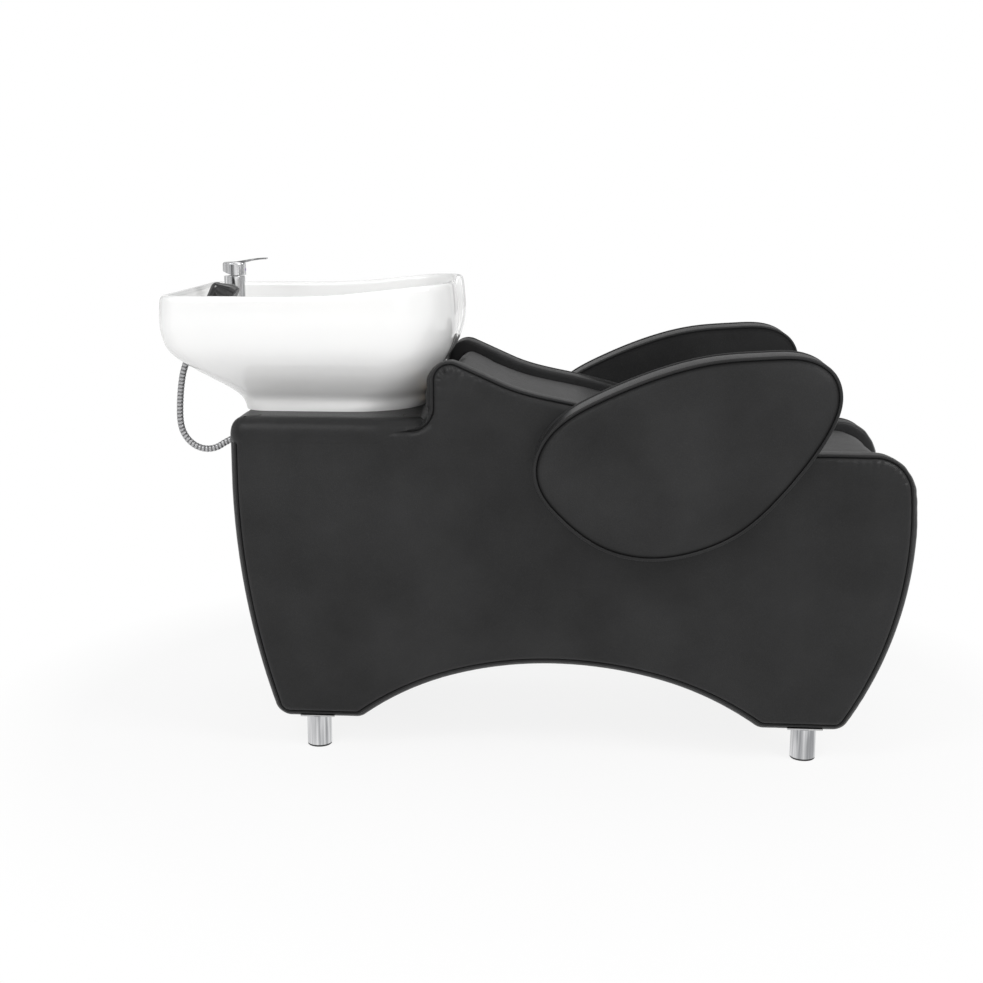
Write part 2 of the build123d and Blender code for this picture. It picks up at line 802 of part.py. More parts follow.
# Inside of the bowl: level sections from the deck down to the floor
bowl_front = basin_neck - basin_wall
bowl_length = bowl_front - deck_front
bowl_half = basin_half - basin_wall
bowl_depth = deck_z - bowl_floor_z
bowl_shares = (
    (0.0, 0.0, 1.0, 0.99),
    (0.317, 0.02, 0.988, 0.955),
    (0.604, 0.06, 0.956, 0.857),
    (0.82, 0.126, 0.893, 0.70),
    (0.95, 0.214, 0.772, 0.482),
    (1.0, 0.279, 0.643, 0.3125),
)
rim_shares = ((0.47, 0.02), (0.61, 0.16), (0.74, 0.48), (0.81, 0.64), (0.88, 0.8))
overhang_front = deck_front - basin_wall * 0.8
overhang_wall = basin_wall * 0.7
foot_rim = basin_wall * 0.9

foot_share_width = foot_shares[0][3]
boss_radius = 3 * bolt_radius
sleeve_radius = handle_radius + sleeve_wall
holder_plane = Plane(
    origin=(holder_x, holder_y, deck_z),
    x_dir=(cos(radians(holder_tilt)), 0, -sin(radians(holder_tilt))),
    z_dir=(sin(radians(holder_tilt)), 0, cos(radians(holder_tilt))),
)
neck_depth = 2 * overrun

with BuildPart() as basin:
    for row in foot_shares:
        add(shared_section(*row))
    loft(ruled=True)
    for row in body_shares:
        add(shared_section(*row))
    loft(ruled=True)
    # Space over the rim, which rises towards the neck
    with BuildSketch(Plane.XZ.offset(-basin_width)):
        with BuildLine():
            rise = rim_neck_z - rim_back_z
            rim_line = Spline(
                (basin_back - overrun, rim_back_z),
                *[(basin_back + basin_length * along, rim_back_z + rise * up) for along, up in rim_shares],
                (basin_neck + overrun, rim_neck_z),
                tangents=[(1, 0), (1, 0)],
            )
            Polyline(
                rim_line @ 1,
                (basin_neck + overrun, rim_neck_z + 2 * overrun),
                (basin_back - overrun, rim_neck_z + 2 * overrun),
                rim_line @ 0,
            )
        make_face()
    extrude(amount=2 * basin_width, mode=Mode.SUBTRACT)
    # Recess over the deck and the bowl
    for height in (deck_z, rim_neck_z + overrun):
        add(
            basin_section(
                height,
                basin_back + basin_wall,
                bowl_front,
                bowl_half,
                basin_half * back_corner_share,
                basin_half * neck_corner_share - basin_wall,
            )
        )
    loft(ruled=True, mode=Mode.SUBTRACT)
    for down, back_share, front_share, width in bowl_shares:
        half = bowl_half * width
        add(
            basin_section(
                deck_z - bowl_depth * down,
                deck_front + bowl_length * back_share,
                deck_front + bowl_length * front_share,
                half,
                half * 0.45,
                half * neck_corner_share,
            )
        )
    loft(ruled=True, mode=Mode.SUBTRACT)
    # Hollow under the deck, open below, and the hollow inside the foot with four bolt bosses
    with BuildPart(mode=Mode.PRIVATE) as overhang:
        for row in body_shares[1:]:
            add(shared_section(*row, inset=overhang_wall))
        loft(ruled=True)
        with Locations((overhang_front, 0, deck_z - deck_thickness_china)):
            Box(
                basin_length,
                2 * basin_width,
                basin_height,
                align=(Align.MAX, Align.CENTER, Align.MAX),
                mode=Mode.INTERSECT,
            )
    add(overhang.part, mode=Mode.SUBTRACT)
    mouth_x = basin_back + overhang_wall
    with BuildSketch(Plane.XY.offset(basin_foot_z)):
        with Locations(((mouth_x + overhang_front - 2 * basin_wall) / 2, 0)):
            RectangleRounded(overhang_front - 2 * basin_wall - mouth_x, 1.5 * basin_half, basin_wall)
    extrude(amount=deck_z - deck_thickness_china - basin_foot_z, mode=Mode.SUBTRACT)
    foot_back = basin_back + basin_length * foot_shares[0][1] + foot_rim
    foot_front = basin_back + basin_length * foot_shares[0][2] - foot_rim
    foot_half = basin_half * foot_share_width - foot_rim
    under_floor = bowl_floor_z - bowl_floor_thickness
    with BuildSketch(Plane.XY.offset(basin_foot_z)):
        add(basin_section(basin_foot_z, foot_back, foot_front, foot_half, foot_half / 2, foot_half / 2))
    extrude(amount=under_floor - basin_foot_z, mode=Mode.SUBTRACT)
    with Locations(*[(x, y, basin_foot_z) for x, y in basin_bolt_spots]):
        Cylinder(boss_radius, under_floor - basin_foot_z, align=standing)
        Cylinder(
            bolt_radius,
            (under_floor - basin_foot_z) * 0.8,
            align=standing,
            mode=Mode.SUBTRACT,
        )
    # Waste hole with a seat for its flange, mixer hole and tilted holder hole
    with Locations((drain_x, 0, bowl_floor_z)):
        Cylinder(
            waste_flange_radius + gap,
            waste_flange_thickness,
            align=hanging,
            mode=Mode.SUBTRACT,
        )
        Cylinder(waste_radius + gap, 2 * overrun, mode=Mode.SUBTRACT)
    with Locations((mixer_x, 0, deck_z)):
        Cylinder(shank_radius + 5 * gap, 2 * overrun, mode=Mode.SUBTRACT)
    with BuildSketch(holder_plane.offset(-overrun)):
        Circle(sleeve_radius + gap)
    extrude(amount=2 * overrun, mode=Mode.SUBTRACT)
    # Neck notch
    with BuildSketch(Plane.YZ.offset(bowl_front - neck_depth)):
        with Locations((0, notch_floor_z + notch_width / 2)):
            Circle(notch_width / 2)
        with BuildLine():
            Polyline(
                (-notch_width / 2, notch_floor_z + notch_width / 2),
                (notch_width / 2, notch_floor_z + notch_width / 2),
                (notch_width / 2 + notch_flare, rim_neck_z + overrun),
                (-notch_width / 2 - notch_flare, rim_neck_z + overrun),
                close=True,
            )
        make_face()
    extrude(amount=neck_depth + 2 * basin_wall, mode=Mode.SUBTRACT)
finish(basin, "basin")

with BuildPart() as basin_bolts:
    bolt_low = shelf_top - shelf_thickness
    bolt_reach = basin_foot_z + (under_floor - basin_foot_z) * 0.8 - bolt_low
    with Locations(*[(x, y, bolt_low) for x, y in basin_bolt_spots]):
        Cylinder(bolt_radius, bolt_reach, align=standing)
        Cylinder(bolt_head_radius, bolt_radius, align=hanging)
finish(basin_bolts, "basin_bolts")

# Waste: flange and tail in one, seals, nut, strainer and bottle trap
with BuildPart() as waste_flange:
    with Locations((drain_x, 0, bowl_floor_z)):
        Cylinder(waste_flange_radius, waste_flange_thickness, align=hanging)
        Cylinder(waste_radius, bowl_floor_z - tail_low, align=hanging)
    fillet(waste_flange.edges().group_by(Axis.Z)[-1], waste_flange_thickness / 3)
    with Locations((drain_x, 0, bowl_floor_z)):
        Cylinder(waste_bore, 2 * (bowl_floor_z - tail_low), mode=Mode.SUBTRACT)
finish(waste_flange, "waste_flange")

seal_thickness = waste_flange_thickness
with BuildPart() as waste_seal:
    with BuildSketch(Plane.XY.offset(under_floor)):
        with Locations((drain_x, 0)):
            Circle(waste_nut_radius)
            Circle(waste_radius, mode=Mode.SUBTRACT)
    extrude(amount=-seal_thickness)
finish(waste_seal, "waste_seal")

nut_height = 3 * seal_thickness
with BuildPart() as waste_nut:
    with BuildSketch(Plane.XY.offset(under_floor - seal_thickness)):
        with Locations((drain_x, 0)):
            RegularPolygon(waste_nut_radius, 8)
            Circle(waste_radius, mode=Mode.SUBTRACT)
    extrude(amount=-nut_height)
    chamfer(waste_nut.edges().group_by(Axis.Z)[0].filter_by(GeomType.LINE), seal_thickness / 3)
finish(waste_nut, "waste_nut")

strainer_radius = waste_bore - gap
strainer_depth = nut_height
with BuildPart() as hair_strainer:
    with Locations((drain_x, 0, bowl_floor_z + gap)):
        Cylinder(
            strainer_radius + 2 * seal_thickness, seal_thickness / 2, align=standing
        )
        Cylinder(strainer_radius, strainer_depth, align=hanging)
        Cylinder(bolt_radius, strainer_depth, align=standing)
    fillet(hair_strainer.edges().group_by(Axis.Z)[-1], bolt_radius / 2)
    with Locations((drain_x, 0, bowl_floor_z - strainer_depth)):
        Cylinder(
            strainer_radius - seal_thickness / 2,
            strainer_depth,
            align=standing,
            mode=Mode.SUBTRACT,
        )
    with Locations((drain_x, 0, bowl_floor_z)):
        with PolarLocations(strainer_radius * 0.6, 8):
            Cylinder(bolt_radius * 0.6, 3 * seal_thickness, mode=Mode.SUBTRACT)
finish(hair_strainer, "hair_strainer")

trap_height = 3 * trap_radius
cup_height = trap_radius * 1.5
with BuildPart() as trap_body:
    with Locations((drain_x, 0, trap_top)):
        Cylinder(waste_radius + 2 * seal_thickness, rail_height / 2, align=hanging)
    with Locations((drain_x, 0, trap_top - rail_height / 2)):
        Cylinder(trap_radius, trap_height, align=hanging)
    with Locations(Location((drain_x, 0, outlet_z), (0, -90, 0))):
        Cylinder(
            trap_outlet_radius, trap_radius + trap_outlet_length, align=standing
        )
        Cylinder(
            trap_outlet_radius + seal_thickness,
            trap_radius + 2 * seal_thickness,
            align=standing,
        )
    with Locations((drain_x, 0, trap_top)):
        Cylinder(waste_radius, trap_height, align=hanging, mode=Mode.SUBTRACT)
    with Locations((drain_x, 0, trap_top - rail_height / 2 - seal_thickness)):
        Cylinder(
            trap_radius - seal_thickness,
            trap_height,
            align=hanging,
            mode=Mode.SUBTRACT,
        )
    with Locations(Location((drain_x, 0, outlet_z), (0, -90, 0))):
        Cylinder(
            trap_outlet_radius - seal_thickness,
            trap_radius + trap_outlet_length,
            align=standing,
            mode=Mode.SUBTRACT,
        )
finish(trap_body, "trap_body")

cup_top = trap_top - rail_height / 2 - trap_height + cup_height / 3
with BuildPart() as trap_cup:
    with Locations((drain_x, 0, cup_top)):
        Cylinder(trap_radius + seal_thickness, cup_height, align=hanging)
    fillet(trap_cup.edges().group_by(Axis.Z)[0], trap_radius / 2)
    with Locations((drain_x, 0, cup_top)):
        Cylinder(trap_radius, cup_height / 3, align=hanging, mode=Mode.SUBTRACT)
        Cylinder(
            trap_radius - seal_thickness,
            cup_height - 2 * seal_thickness,
            align=hanging,
            mode=Mode.SUBTRACT,
        )
finish(trap_cup, "trap_cup")

# Mixer: base ring, body with its shank, nut, and the swivelling hub that carries the lifting lever
with BuildPart() as mixer_base:
    with BuildSketch(Plane.XY.offset(deck_z)):
        with Locations((mixer_x, 0)):
            Circle(mixer_base_radius)
            Circle(shank_radius, mode=Mode.SUBTRACT)
    extrude(amount=mixer_base_height)
    fillet(mixer_base.edges().group_by(Axis.Z)[-1].sort_by(SortBy.RADIUS)[-1], mixer_base_height / 3)
finish(mixer_base, "mixer_base")

pivot_z = mixer_top_z + mixer_base_height * 0.6
pin_radius = bolt_radius / 2
tongue_half = bolt_radius
ear_half = 2 * tongue_half
hub_radius = 0.6 * mixer_radius
hub_top = pivot_z - mixer_base_height
hub_low = hub_top - mixer_base_height - pin_radius / 2
with BuildPart() as mixer_body:
    with Locations((mixer_x, 0, deck_z + mixer_base_height)):
        Cylinder(
            mixer_radius,
            mixer_top_z - deck_z - mixer_base_height,
            align=standing,
        )
        Cylinder(shank_radius, shank_length, align=hanging)
    fillet(mixer_body.edges().filter_by(GeomType.CIRCLE).group_by(Axis.Z)[-1], mixer_base_height / 5)
    with Locations((mixer_x, 0, hub_low)):
        Cylinder(
            hub_radius + running, mixer_radius, align=standing, mode=Mode.SUBTRACT
        )
    with Locations((mixer_x, 0, deck_z - shank_length)):
        Cylinder(
            shank_radius / 2, shank_length, align=standing, mode=Mode.SUBTRACT
        )
finish(mixer_body, "mixer_body")

under_deck = deck_z - deck_thickness_china
with BuildPart() as mixer_nut:
    with BuildSketch(Plane.XY.offset(under_deck)):
        with Locations((mixer_x, 0)):
            Circle(mixer_radius + 3 * gap)
            Circle(shank_radius, mode=Mode.SUBTRACT)
    extrude(amount=-seal_thickness / 2)
    with BuildSketch(Plane.XY.offset(under_deck - seal_thickness / 2)):
        with Locations((mixer_x, 0)):
            RegularPolygon(mixer_radius, 6)
            Circle(shank_radius, mode=Mode.SUBTRACT)
    extrude(amount=-nut_height)
finish(mixer_nut, "mixer_nut")

ear_rise = hub_radius / 2
with BuildPart() as mixer_hub:
    with Locations((mixer_x, 0, hub_low + running)):
        Cylinder(hub_radius, hub_top - hub_low - running, align=standing)
    for side in (-1, 1):
        ear_face = side * (tongue_half + ear_half + gap) / 2 + (ear_half - tongue_half) / 2
        with BuildSketch(Plane.XZ.offset(ear_face)):
            with Locations((mixer_x, (hub_top + pivot_z) / 2)):
                Rectangle(2 * ear_rise, pivot_z - hub_top)
            with Locations((mixer_x, pivot_z)):
                Circle(ear_rise)
                Circle(pin_radius, mode=Mode.SUBTRACT)
        extrude(amount=-(ear_half - tongue_half))
finish(mixer_hub, "mixer_hub")

with BuildPart() as mixer_pin:
    with BuildSketch(Plane.XZ.offset(-ear_half - 2 * gap)):
        with Locations((mixer_x, pivot_z)):
            Circle(pin_radius)
    extrude(amount=2 * ear_half + 4 * gap)
finish(mixer_pin, "mixer_pin")

cap_low = pivot_z - mixer_base_height / 5
cavity_radius = 0.7 * cap_radius
cavity_top = pivot_z + cap_height / 2
with BuildPart() as mixer_lever:
    with Locations((mixer_x, 0, cap_low)):
        Cylinder(cap_radius, cap_height, align=standing)
    fillet(mixer_lever.edges().group_by(Axis.Z)[-1], mixer_base_height)
    # The blade rises from the cap's top and sweeps out over the bowl
    with BuildSketch(Plane.XZ.offset(-lever_width / 2)):
        with BuildLine():
            root_z = cap_low + cap_height - lever_thickness
            tip = (mixer_x + lever_reach, pivot_z + cap_height * 1.3)
            top_curve = Spline(
                (mixer_x, root_z + lever_thickness),
                (mixer_x + cap_radius, root_z + lever_thickness * 1.7),
                tip,
                tangents=[(1, 0.15), (1, 0)],
            )
            tip_line = Line(tip, (tip[0], tip[1] - lever_thickness / 2))
            under_curve = Spline(
                tip_line @ 1,
                (mixer_x + cap_radius, root_z + lever_thickness * 0.8),
                (mixer_x, root_z - lever_thickness / 3),
                tangents=[(-1, 0), (-1, -0.3)],
            )
            Line(under_curve @ 1, top_curve @ 0)
        make_face()
    extrude(amount=lever_width)
    with BuildSketch(Plane.XZ.offset(-cap_radius)):
        with BuildLine():
            bevel = radians(lift_angle)
            Polyline(
                (mixer_x, cap_low),
                (mixer_x - 2 * cap_radius, cap_low + 2 * cap_radius * tan(bevel)),
                (mixer_x - 2 * cap_radius, cap_low),
                close=True,
            )
        make_face()
    extrude(amount=2 * cap_radius, mode=Mode.SUBTRACT)
    with Locations((mixer_x, 0, cap_low)):
        Cylinder(
            cavity_radius,
            cavity_top - cap_low,
            align=standing,
            mode=Mode.SUBTRACT,
        )
    with BuildSketch(Plane.XZ.offset(-tongue_half)):
        with Locations((mixer_x, (pivot_z + cavity_top) / 2)):
            Rectangle(2 * tongue_half, cavity_top - pivot_z)
        with Locations((mixer_x, pivot_z)):
            Circle(tongue_half)
            Circle(pin_radius + running, mode=Mode.SUBTRACT)
    extrude(amount=2 * tongue_half)
    indicator_z = cap_low + cap_height * 0.4
    with BuildSketch(Plane.YZ.offset(mixer_x + cap_radius - pin_radius)):
        with Locations((0, indicator_z)):
            Circle(tongue_half)
    extrude(amount=2 * pin_radius, mode=Mode.SUBTRACT)
finish(mixer_lever, "mixer_lever")

with BuildPart() as mixer_indicator:
    with BuildSketch(Plane.YZ.offset(mixer_x + cap_radius - pin_radius)):
        with Locations((0, indicator_z)):
            Circle(tongue_half)
    extrude(amount=pin_radius)
finish(mixer_indicator, "mixer_indicator")

# Hand shower: tilted sleeve through the deck, its nut, the hose guide, the handset and the hose
sleeve_bore = handle_radius + gap
handle_low = -handle_drop
collar_radius = handle_radius * 0.7
collar_length = handle_radius
sleeve_low = handle_low - collar_length - sleeve_rest
tail_low_s = sleeve_low - guide_length + tail_recess
with BuildPart() as holder_sleeve:
    with Locations((holder_x, holder_y, deck_z)):
        Cylinder(
            sleeve_radius + 2 * seal_thickness, 1.5 * seal_thickness, align=standing
        )
    fillet(holder_sleeve.edges().group_by(Axis.Z)[-1], seal_thickness / 2)
    with BuildSketch(holder_plane.offset(sleeve_low)):
        Circle(sleeve_radius)
    extrude(amount=-sleeve_low + handle_radius)
    with BuildSketch(holder_plane.offset(sleeve_low - overrun)):
        Circle(sleeve_bore)
    extrude(amount=4 * overrun + handle_radius, mode=Mode.SUBTRACT)
finish(holder_sleeve, "holder_sleeve")

with BuildPart() as holder_nut:
    with BuildSketch(holder_plane.offset(-3 * nut_height)):
        Circle(sleeve_radius + 2 * seal_thickness)
        Circle(sleeve_radius, mode=Mode.SUBTRACT)
    extrude(amount=4 * nut_height)
    with Locations((holder_x, holder_y, under_deck)):
        Box(
            4 * overrun, 4 * overrun, 4 * overrun, align=standing, mode=Mode.SUBTRACT
        )
finish(holder_nut, "holder_nut")

with BuildPart() as hose_guide:
    with BuildSketch(holder_plane.offset(sleeve_low)):
        Circle(sleeve_radius)
    extrude(amount=-seal_thickness)
    with BuildSketch(holder_plane.offset(sleeve_low)):
        Circle(hose_radius + seal_thickness)
    extrude(amount=-guide_length)
    with BuildSketch(holder_plane.offset(sleeve_low)):
        Circle(hose_radius + gap)
    extrude(amount=-guide_length, mode=Mode.SUBTRACT)
finish(hose_guide, "hose_guide")

head_tilt = -radians(head_droop)
head_axis = Vector(cos(head_tilt), 0, sin(head_tilt))
elbow = holder_plane.origin + holder_plane.z_dir * elbow_rise
with BuildPart() as handset_body:
    with BuildSketch(holder_plane.offset(handle_low)):
        Circle(handle_radius)
    extrude(amount=elbow_rise - handle_low)
    with Locations(elbow):
        Sphere(handle_radius)
    with BuildSketch(Plane(origin=elbow, z_dir=head_axis)):
        Circle(handle_radius)
    with BuildSketch(Plane(origin=elbow + head_axis * (head_length * 0.6), z_dir=head_axis)):
        Circle(head_radius)
    loft()
    with BuildSketch(Plane(origin=elbow + head_axis * (head_length * 0.6), z_dir=head_axis)):
        Circle(head_radius)
    extrude(amount=head_length * 0.3)
finish(handset_body, "handset_body")

face_plane = Plane(origin=elbow + head_axis * (head_length * 0.9), z_dir=head_axis)
with BuildPart() as handset_face:
    with BuildSketch(face_plane):
        Circle(head_radius - seal_thickness / 2)
    extrude(amount=seal_thickness)
    chamfer(handset_face.edges().filter_by(GeomType.CIRCLE).sort_by(Axis.X)[-1], seal_thickness / 3)
finish(handset_face, "handset_face")

with BuildPart() as hose_tail:
    with BuildSketch(holder_plane.offset(handle_low)):
        Circle(collar_radius)
    extrude(amount=-collar_length)
    with BuildSketch(holder_plane.offset(handle_low - collar_length)):
        Circle(hose_radius)
    extrude(amount=tail_low_s - handle_low + collar_length)
finish(hose_tail, "hose_tail")

# The shower hose's visible loop, from the guide down to the grommet, with points chosen by hand
hose_route = (
    (-731.4, 775.9),
    (-738.5, 738.0),
    (-742.2, 700.0),
    (-743.0, 664.0),
    (-736.7, 638.8),
    (-720.1, 617.5),
    (-695.6, 606.1),
    (-668.7, 608.5),
    (-646.9, 622.9),
    (-614.5, grommet_z),
    (-584.5, grommet_z),
)
hose_start = holder_plane.origin + holder_plane.z_dir * (tail_low_s - gap)
hose_points = [hose_start] + [Vector(x, holder_y, z) for x, z in hose_route]
hose_radii = []
for before, here, after in zip(hose_points, hose_points[1:], hose_points[2:]):
    turn = (here - before).get_angle(after - here)
    run = min((here - before).length, (after - here).length)
    hose_radii.append(0.45 * run / tan(radians(turn) / 2))
with BuildLine(mode=Mode.PRIVATE) as hose_line:
    FilletPolyline(*hose_points, radius=hose_radii)
hose_path = hose_line.wires()[0]
plain_end = 2 * hose_radius
rib_pitch = (hose_path.length - 2 * plain_end) / rib_count
rib_shares = ((0.0, 0.0), (0.3, 1.0), (0.7, 1.0), (1.0, 0.0))


def hose_place(along):
    """The plane across the hose at a distance along it, with its X axis held across the loop."""
    return Plane(
        origin=hose_path.position_at(along, PositionMode.LENGTH),
        x_dir=(0, 1, 0),
        z_dir=hose_path.tangent_at(along, PositionMode.LENGTH),
    )


hose_sections = [(0.0, 0.0)]
for rib in range(rib_count):
    hose_sections += [(plain_end + (rib + 0.25 + along / 2) * rib_pitch, up) for along, up in rib_shares]
hose_sections.append((hose_path.length, 0.0))
with BuildPart() as shower_hose:
    for along, up in hose_sections:
        with BuildSketch(hose_place(along)):
            Circle(hose_radius - rib_height * (1 - up))
    loft(ruled=True)
    with BuildSketch(hose_place(0)):
        Circle(hose_bore)
    sweep(path=hose_path, mode=Mode.SUBTRACT)
finish(shower_hose, "shower_hose")
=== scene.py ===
"""Hair washing bed: leather, glaze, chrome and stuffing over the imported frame.

Metres, in the frame's own axes. Sizes marked mm are the upholsterer's and are scaled by MM.
"""

import json
import math

import bmesh
import bpy
import numpy as np
from mathutils.geometry import delaunay_2d_cdt
from mathutils.kdtree import KDTree
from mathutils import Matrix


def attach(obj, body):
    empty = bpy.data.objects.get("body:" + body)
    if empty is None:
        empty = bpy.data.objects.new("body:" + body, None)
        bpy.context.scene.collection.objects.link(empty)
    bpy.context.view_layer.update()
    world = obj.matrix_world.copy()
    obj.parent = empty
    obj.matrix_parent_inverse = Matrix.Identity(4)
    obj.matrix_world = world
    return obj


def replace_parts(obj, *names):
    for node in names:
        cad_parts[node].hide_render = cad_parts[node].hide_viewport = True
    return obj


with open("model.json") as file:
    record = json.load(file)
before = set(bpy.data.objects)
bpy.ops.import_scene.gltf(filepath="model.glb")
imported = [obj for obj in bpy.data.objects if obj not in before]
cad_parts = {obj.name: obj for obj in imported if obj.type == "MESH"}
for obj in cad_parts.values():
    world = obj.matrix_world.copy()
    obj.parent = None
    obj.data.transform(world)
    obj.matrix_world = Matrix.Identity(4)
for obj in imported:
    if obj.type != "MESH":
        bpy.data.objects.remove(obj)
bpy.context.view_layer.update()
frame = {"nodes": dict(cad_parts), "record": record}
nodes = frame["nodes"]
scene = bpy.context.scene
MM = 0.001
SIDES = (("right", -1.0), ("left", 1.0))


# Camera: solved from the photo's edges, its widths in pixels; 11.5 degrees down and 4.6 degrees round
PHOTO = 983
FOCAL = 1500
AXIS_COLUMN = 465.8
SENSOR = 36.0
camera_data = bpy.data.cameras.new("photo_camera")
camera_data.sensor_width = SENSOR
camera_data.lens = SENSOR * FOCAL / PHOTO
camera_data.shift_x = (PHOTO / 2 - AXIS_COLUMN) / PHOTO
camera = bpy.data.objects.new("photo_camera", camera_data)
camera.location = (0.1013, -3.1656, 1.1486)
camera.rotation_euler = (math.radians(78.452), 0.0, math.radians(4.6007))
scene.collection.objects.link(camera)
scene.camera = camera
scene.view_settings.view_transform = "Standard"


# Shader maths
class Level:
    """A value socket that adds Math nodes when it is used in an expression."""

    def __init__(self, tree, socket):
        self.tree = tree
        self.socket = socket

    def _with(self, operation, first, second):
        node = self.tree.nodes.new("ShaderNodeMath")
        node.operation = operation
        for place, item in enumerate((first, second)):
            if isinstance(item, Level):
                self.tree.links.new(item.socket, node.inputs[place])
            else:
                node.inputs[place].default_value = item
        return Level(self.tree, node.outputs[0])

    def __add__(self, other):
        return self._with("ADD", self, other)

    __radd__ = __add__

    def __mul__(self, other):
        return self._with("MULTIPLY", self, other)

    __rmul__ = __mul__

    def __sub__(self, other):
        return self._with("SUBTRACT", self, other)

    def __rsub__(self, other):
        return self._with("SUBTRACT", other, self)

    def at_least(self, other):
        return self._with("MAXIMUM", self, other)


class Finish:
    """A Principled material whose other nodes come from one method."""

    def __init__(self, name, color, roughness, **constants):
        self.material = bpy.data.materials.new(name)
        self.material.use_nodes = True
        self.tree = self.material.node_tree
        self.shader = self.tree.nodes["Principled BSDF"]
        self.material.diffuse_color = (*color, 1.0)
        self.shader.inputs["Base Color"].default_value = (*color, 1.0)
        self.shader.inputs["Roughness"].default_value = roughness
        for key, value in constants.items():
            self.shader.inputs[key.replace("_", " ")].default_value = value
        self.place = self.node("ShaderNodeTexCoord", {}, {}).outputs["Object"]

    def node(self, kind, settings, sockets):
        """A node of that kind, with its settings set first and then its sockets' values or links."""
        made = self.tree.nodes.new(kind)
        for key, value in settings.items():
            setattr(made, key, value)
        for key, value in sockets.items():
            if isinstance(value, Level):
                self.tree.links.new(value.socket, made.inputs[key])
            elif isinstance(value, bpy.types.NodeSocket):
                self.tree.links.new(value, made.inputs[key])
            else:
                made.inputs[key].default_value = value
        return made

    def noise(self, scale, detail=3.0, vector=None, roughness=0.5):
        made = self.node(
            "ShaderNodeTexNoise",
            {},
            {"Vector": vector or self.place, "Scale": scale, "Detail": detail, "Roughness": roughness},
        )
        return Level(self.tree, made.outputs["Fac"])

    def cells(self, scale):
        made = self.node("ShaderNodeTexVoronoi", {}, {"Vector": self.place, "Scale": scale})
        return Level(self.tree, made.outputs["Distance"])

    def stretched(self, scale):
        """Object coordinates scaled unevenly, for a pattern with a direction."""
        return self.node("ShaderNodeMapping", {}, {"Vector": self.place, "Scale": scale}).outputs["Vector"]

    def attribute(self, name):
        made = self.node("ShaderNodeAttribute", {"attribute_name": name}, {})
        return Level(self.tree, made.outputs["Fac"])

    def mix(self, factor, first, second):
        """A colour between two colours."""
        made = self.node("ShaderNodeMix", {"data_type": "RGBA"}, {0: factor, 6: first, 7: second})
        return made.outputs[2]

    def color(self, source):
        self.tree.links.new(source, self.shader.inputs["Base Color"])

    def feed(self, name, level):
        self.tree.links.new(level.socket, self.shader.inputs[name])

    def bump(self, height, distance, strength=1.0):
        """Relief over the surface, laid over any relief that is there already."""
        inputs = {"Height": height, "Distance": distance, "Strength": strength}
        if self.shader.inputs["Normal"].is_linked:
            inputs["Normal"] = self.shader.inputs["Normal"].links[0].from_socket
        made = self.node("ShaderNodeBump", {}, inputs)
        self.tree.links.new(made.outputs["Normal"], self.shader.inputs["Normal"])


def grey(level):
    return (level, level, level * 1.02, 1.0)


def leather(name, dark, light, roughness, seam_shade_amount):
    """Black coated leather: pebbled grain and slow creases, duller down in the seams, with painted shade
    there: darker colour and a dark diffuse shader mixed in.
    """
    made = Finish(name, (dark, dark, dark), roughness, Specular_IOR_Level=0.2)
    grain = made.cells(620.0)
    fine = made.noise(1400.0, 2.0)
    cloud = made.noise(7.0, 4.0)
    crease = made.noise(1.0, 5.0, made.stretched((26.0, 26.0, 15.0)), 0.6)
    seam = made.attribute("seam")
    # Painted shade: the seam value takes colour away down in the seams.
    shade = (cloud * 0.9 + grain * 0.3 - seam * seam_shade_amount - 0.2).at_least(0.0)
    made.color(made.mix(shade, grey(dark), grey(light)))
    made.feed("Roughness", roughness - 0.08 + cloud * 0.18 - grain * 0.08 + seam * 0.3)
    made.bump(crease, 0.005, 0.2)
    made.bump(grain * 0.8 + fine * 0.35, 0.0004, 0.6)
    # Painted shade: a dark diffuse shader is mixed in down in the seams.
    shadow = made.node("ShaderNodeBsdfDiffuse", {}, {"Color": grey(dark * 0.3)})
    blend = made.node(
        "ShaderNodeMixShader", {}, {0: seam * 0.9, 1: made.shader.outputs[0], 2: shadow.outputs[0]}
    )
    made.tree.links.new(blend.outputs[0], made.tree.nodes["Material Output"].inputs["Surface"])
    return made.material


def glaze():
    """White sanitary glaze: almost flat, with the faint waviness of fired ware."""
    made = Finish("white_glaze", (0.86, 0.86, 0.85), 0.07, Coat_Weight=0.25, Coat_Roughness=0.03)
    cloud = made.noise(4.0, 3.0)
    wave = made.noise(14.0, 2.0)
    made.color(made.mix(cloud, (0.83, 0.835, 0.835, 1.0), (0.89, 0.885, 0.875, 1.0)))
    made.feed("Roughness", 0.05 + cloud * 0.05)
    made.bump(wave, 0.0016, 0.12)
    return made.material


def chrome():
    """Plated tube: mirror bright with a little haze and handling marks, and streaks of reflection painted into
    its colour along its length.
    """
    made = Finish("bright_chrome", (0.82, 0.82, 0.84), 0.06, Metallic=1.0)
    haze_and_reflection_streaks = made.noise(1.0, 3.0, made.stretched((95.0, 95.0, 4.0)))
    spots = made.noise(130.0, 2.0)
    # Painted reflection: light and dark streaks in the base colour stand for the surroundings mirrored in the
    # tube.
    painted_reflection = (haze_and_reflection_streaks * 3.2 - 1.1).at_least(0.0)
    made.color(made.mix(painted_reflection, (0.30, 0.305, 0.315, 1.0), (0.90, 0.90, 0.91, 1.0)))
    made.feed("Roughness", 0.05 + haze_and_reflection_streaks * 0.08 + spots * 0.02)
    return made.material


def zinc():
    made = Finish("zinc_plate", (0.55, 0.55, 0.56), 0.35, Metallic=1.0)
    spangle = made.cells(160.0)
    made.color(made.mix(spangle, (0.46, 0.46, 0.48, 1.0), (0.64, 0.64, 0.62, 1.0)))
    made.feed("Roughness", 0.28 + spangle * 0.25)
    return made.material


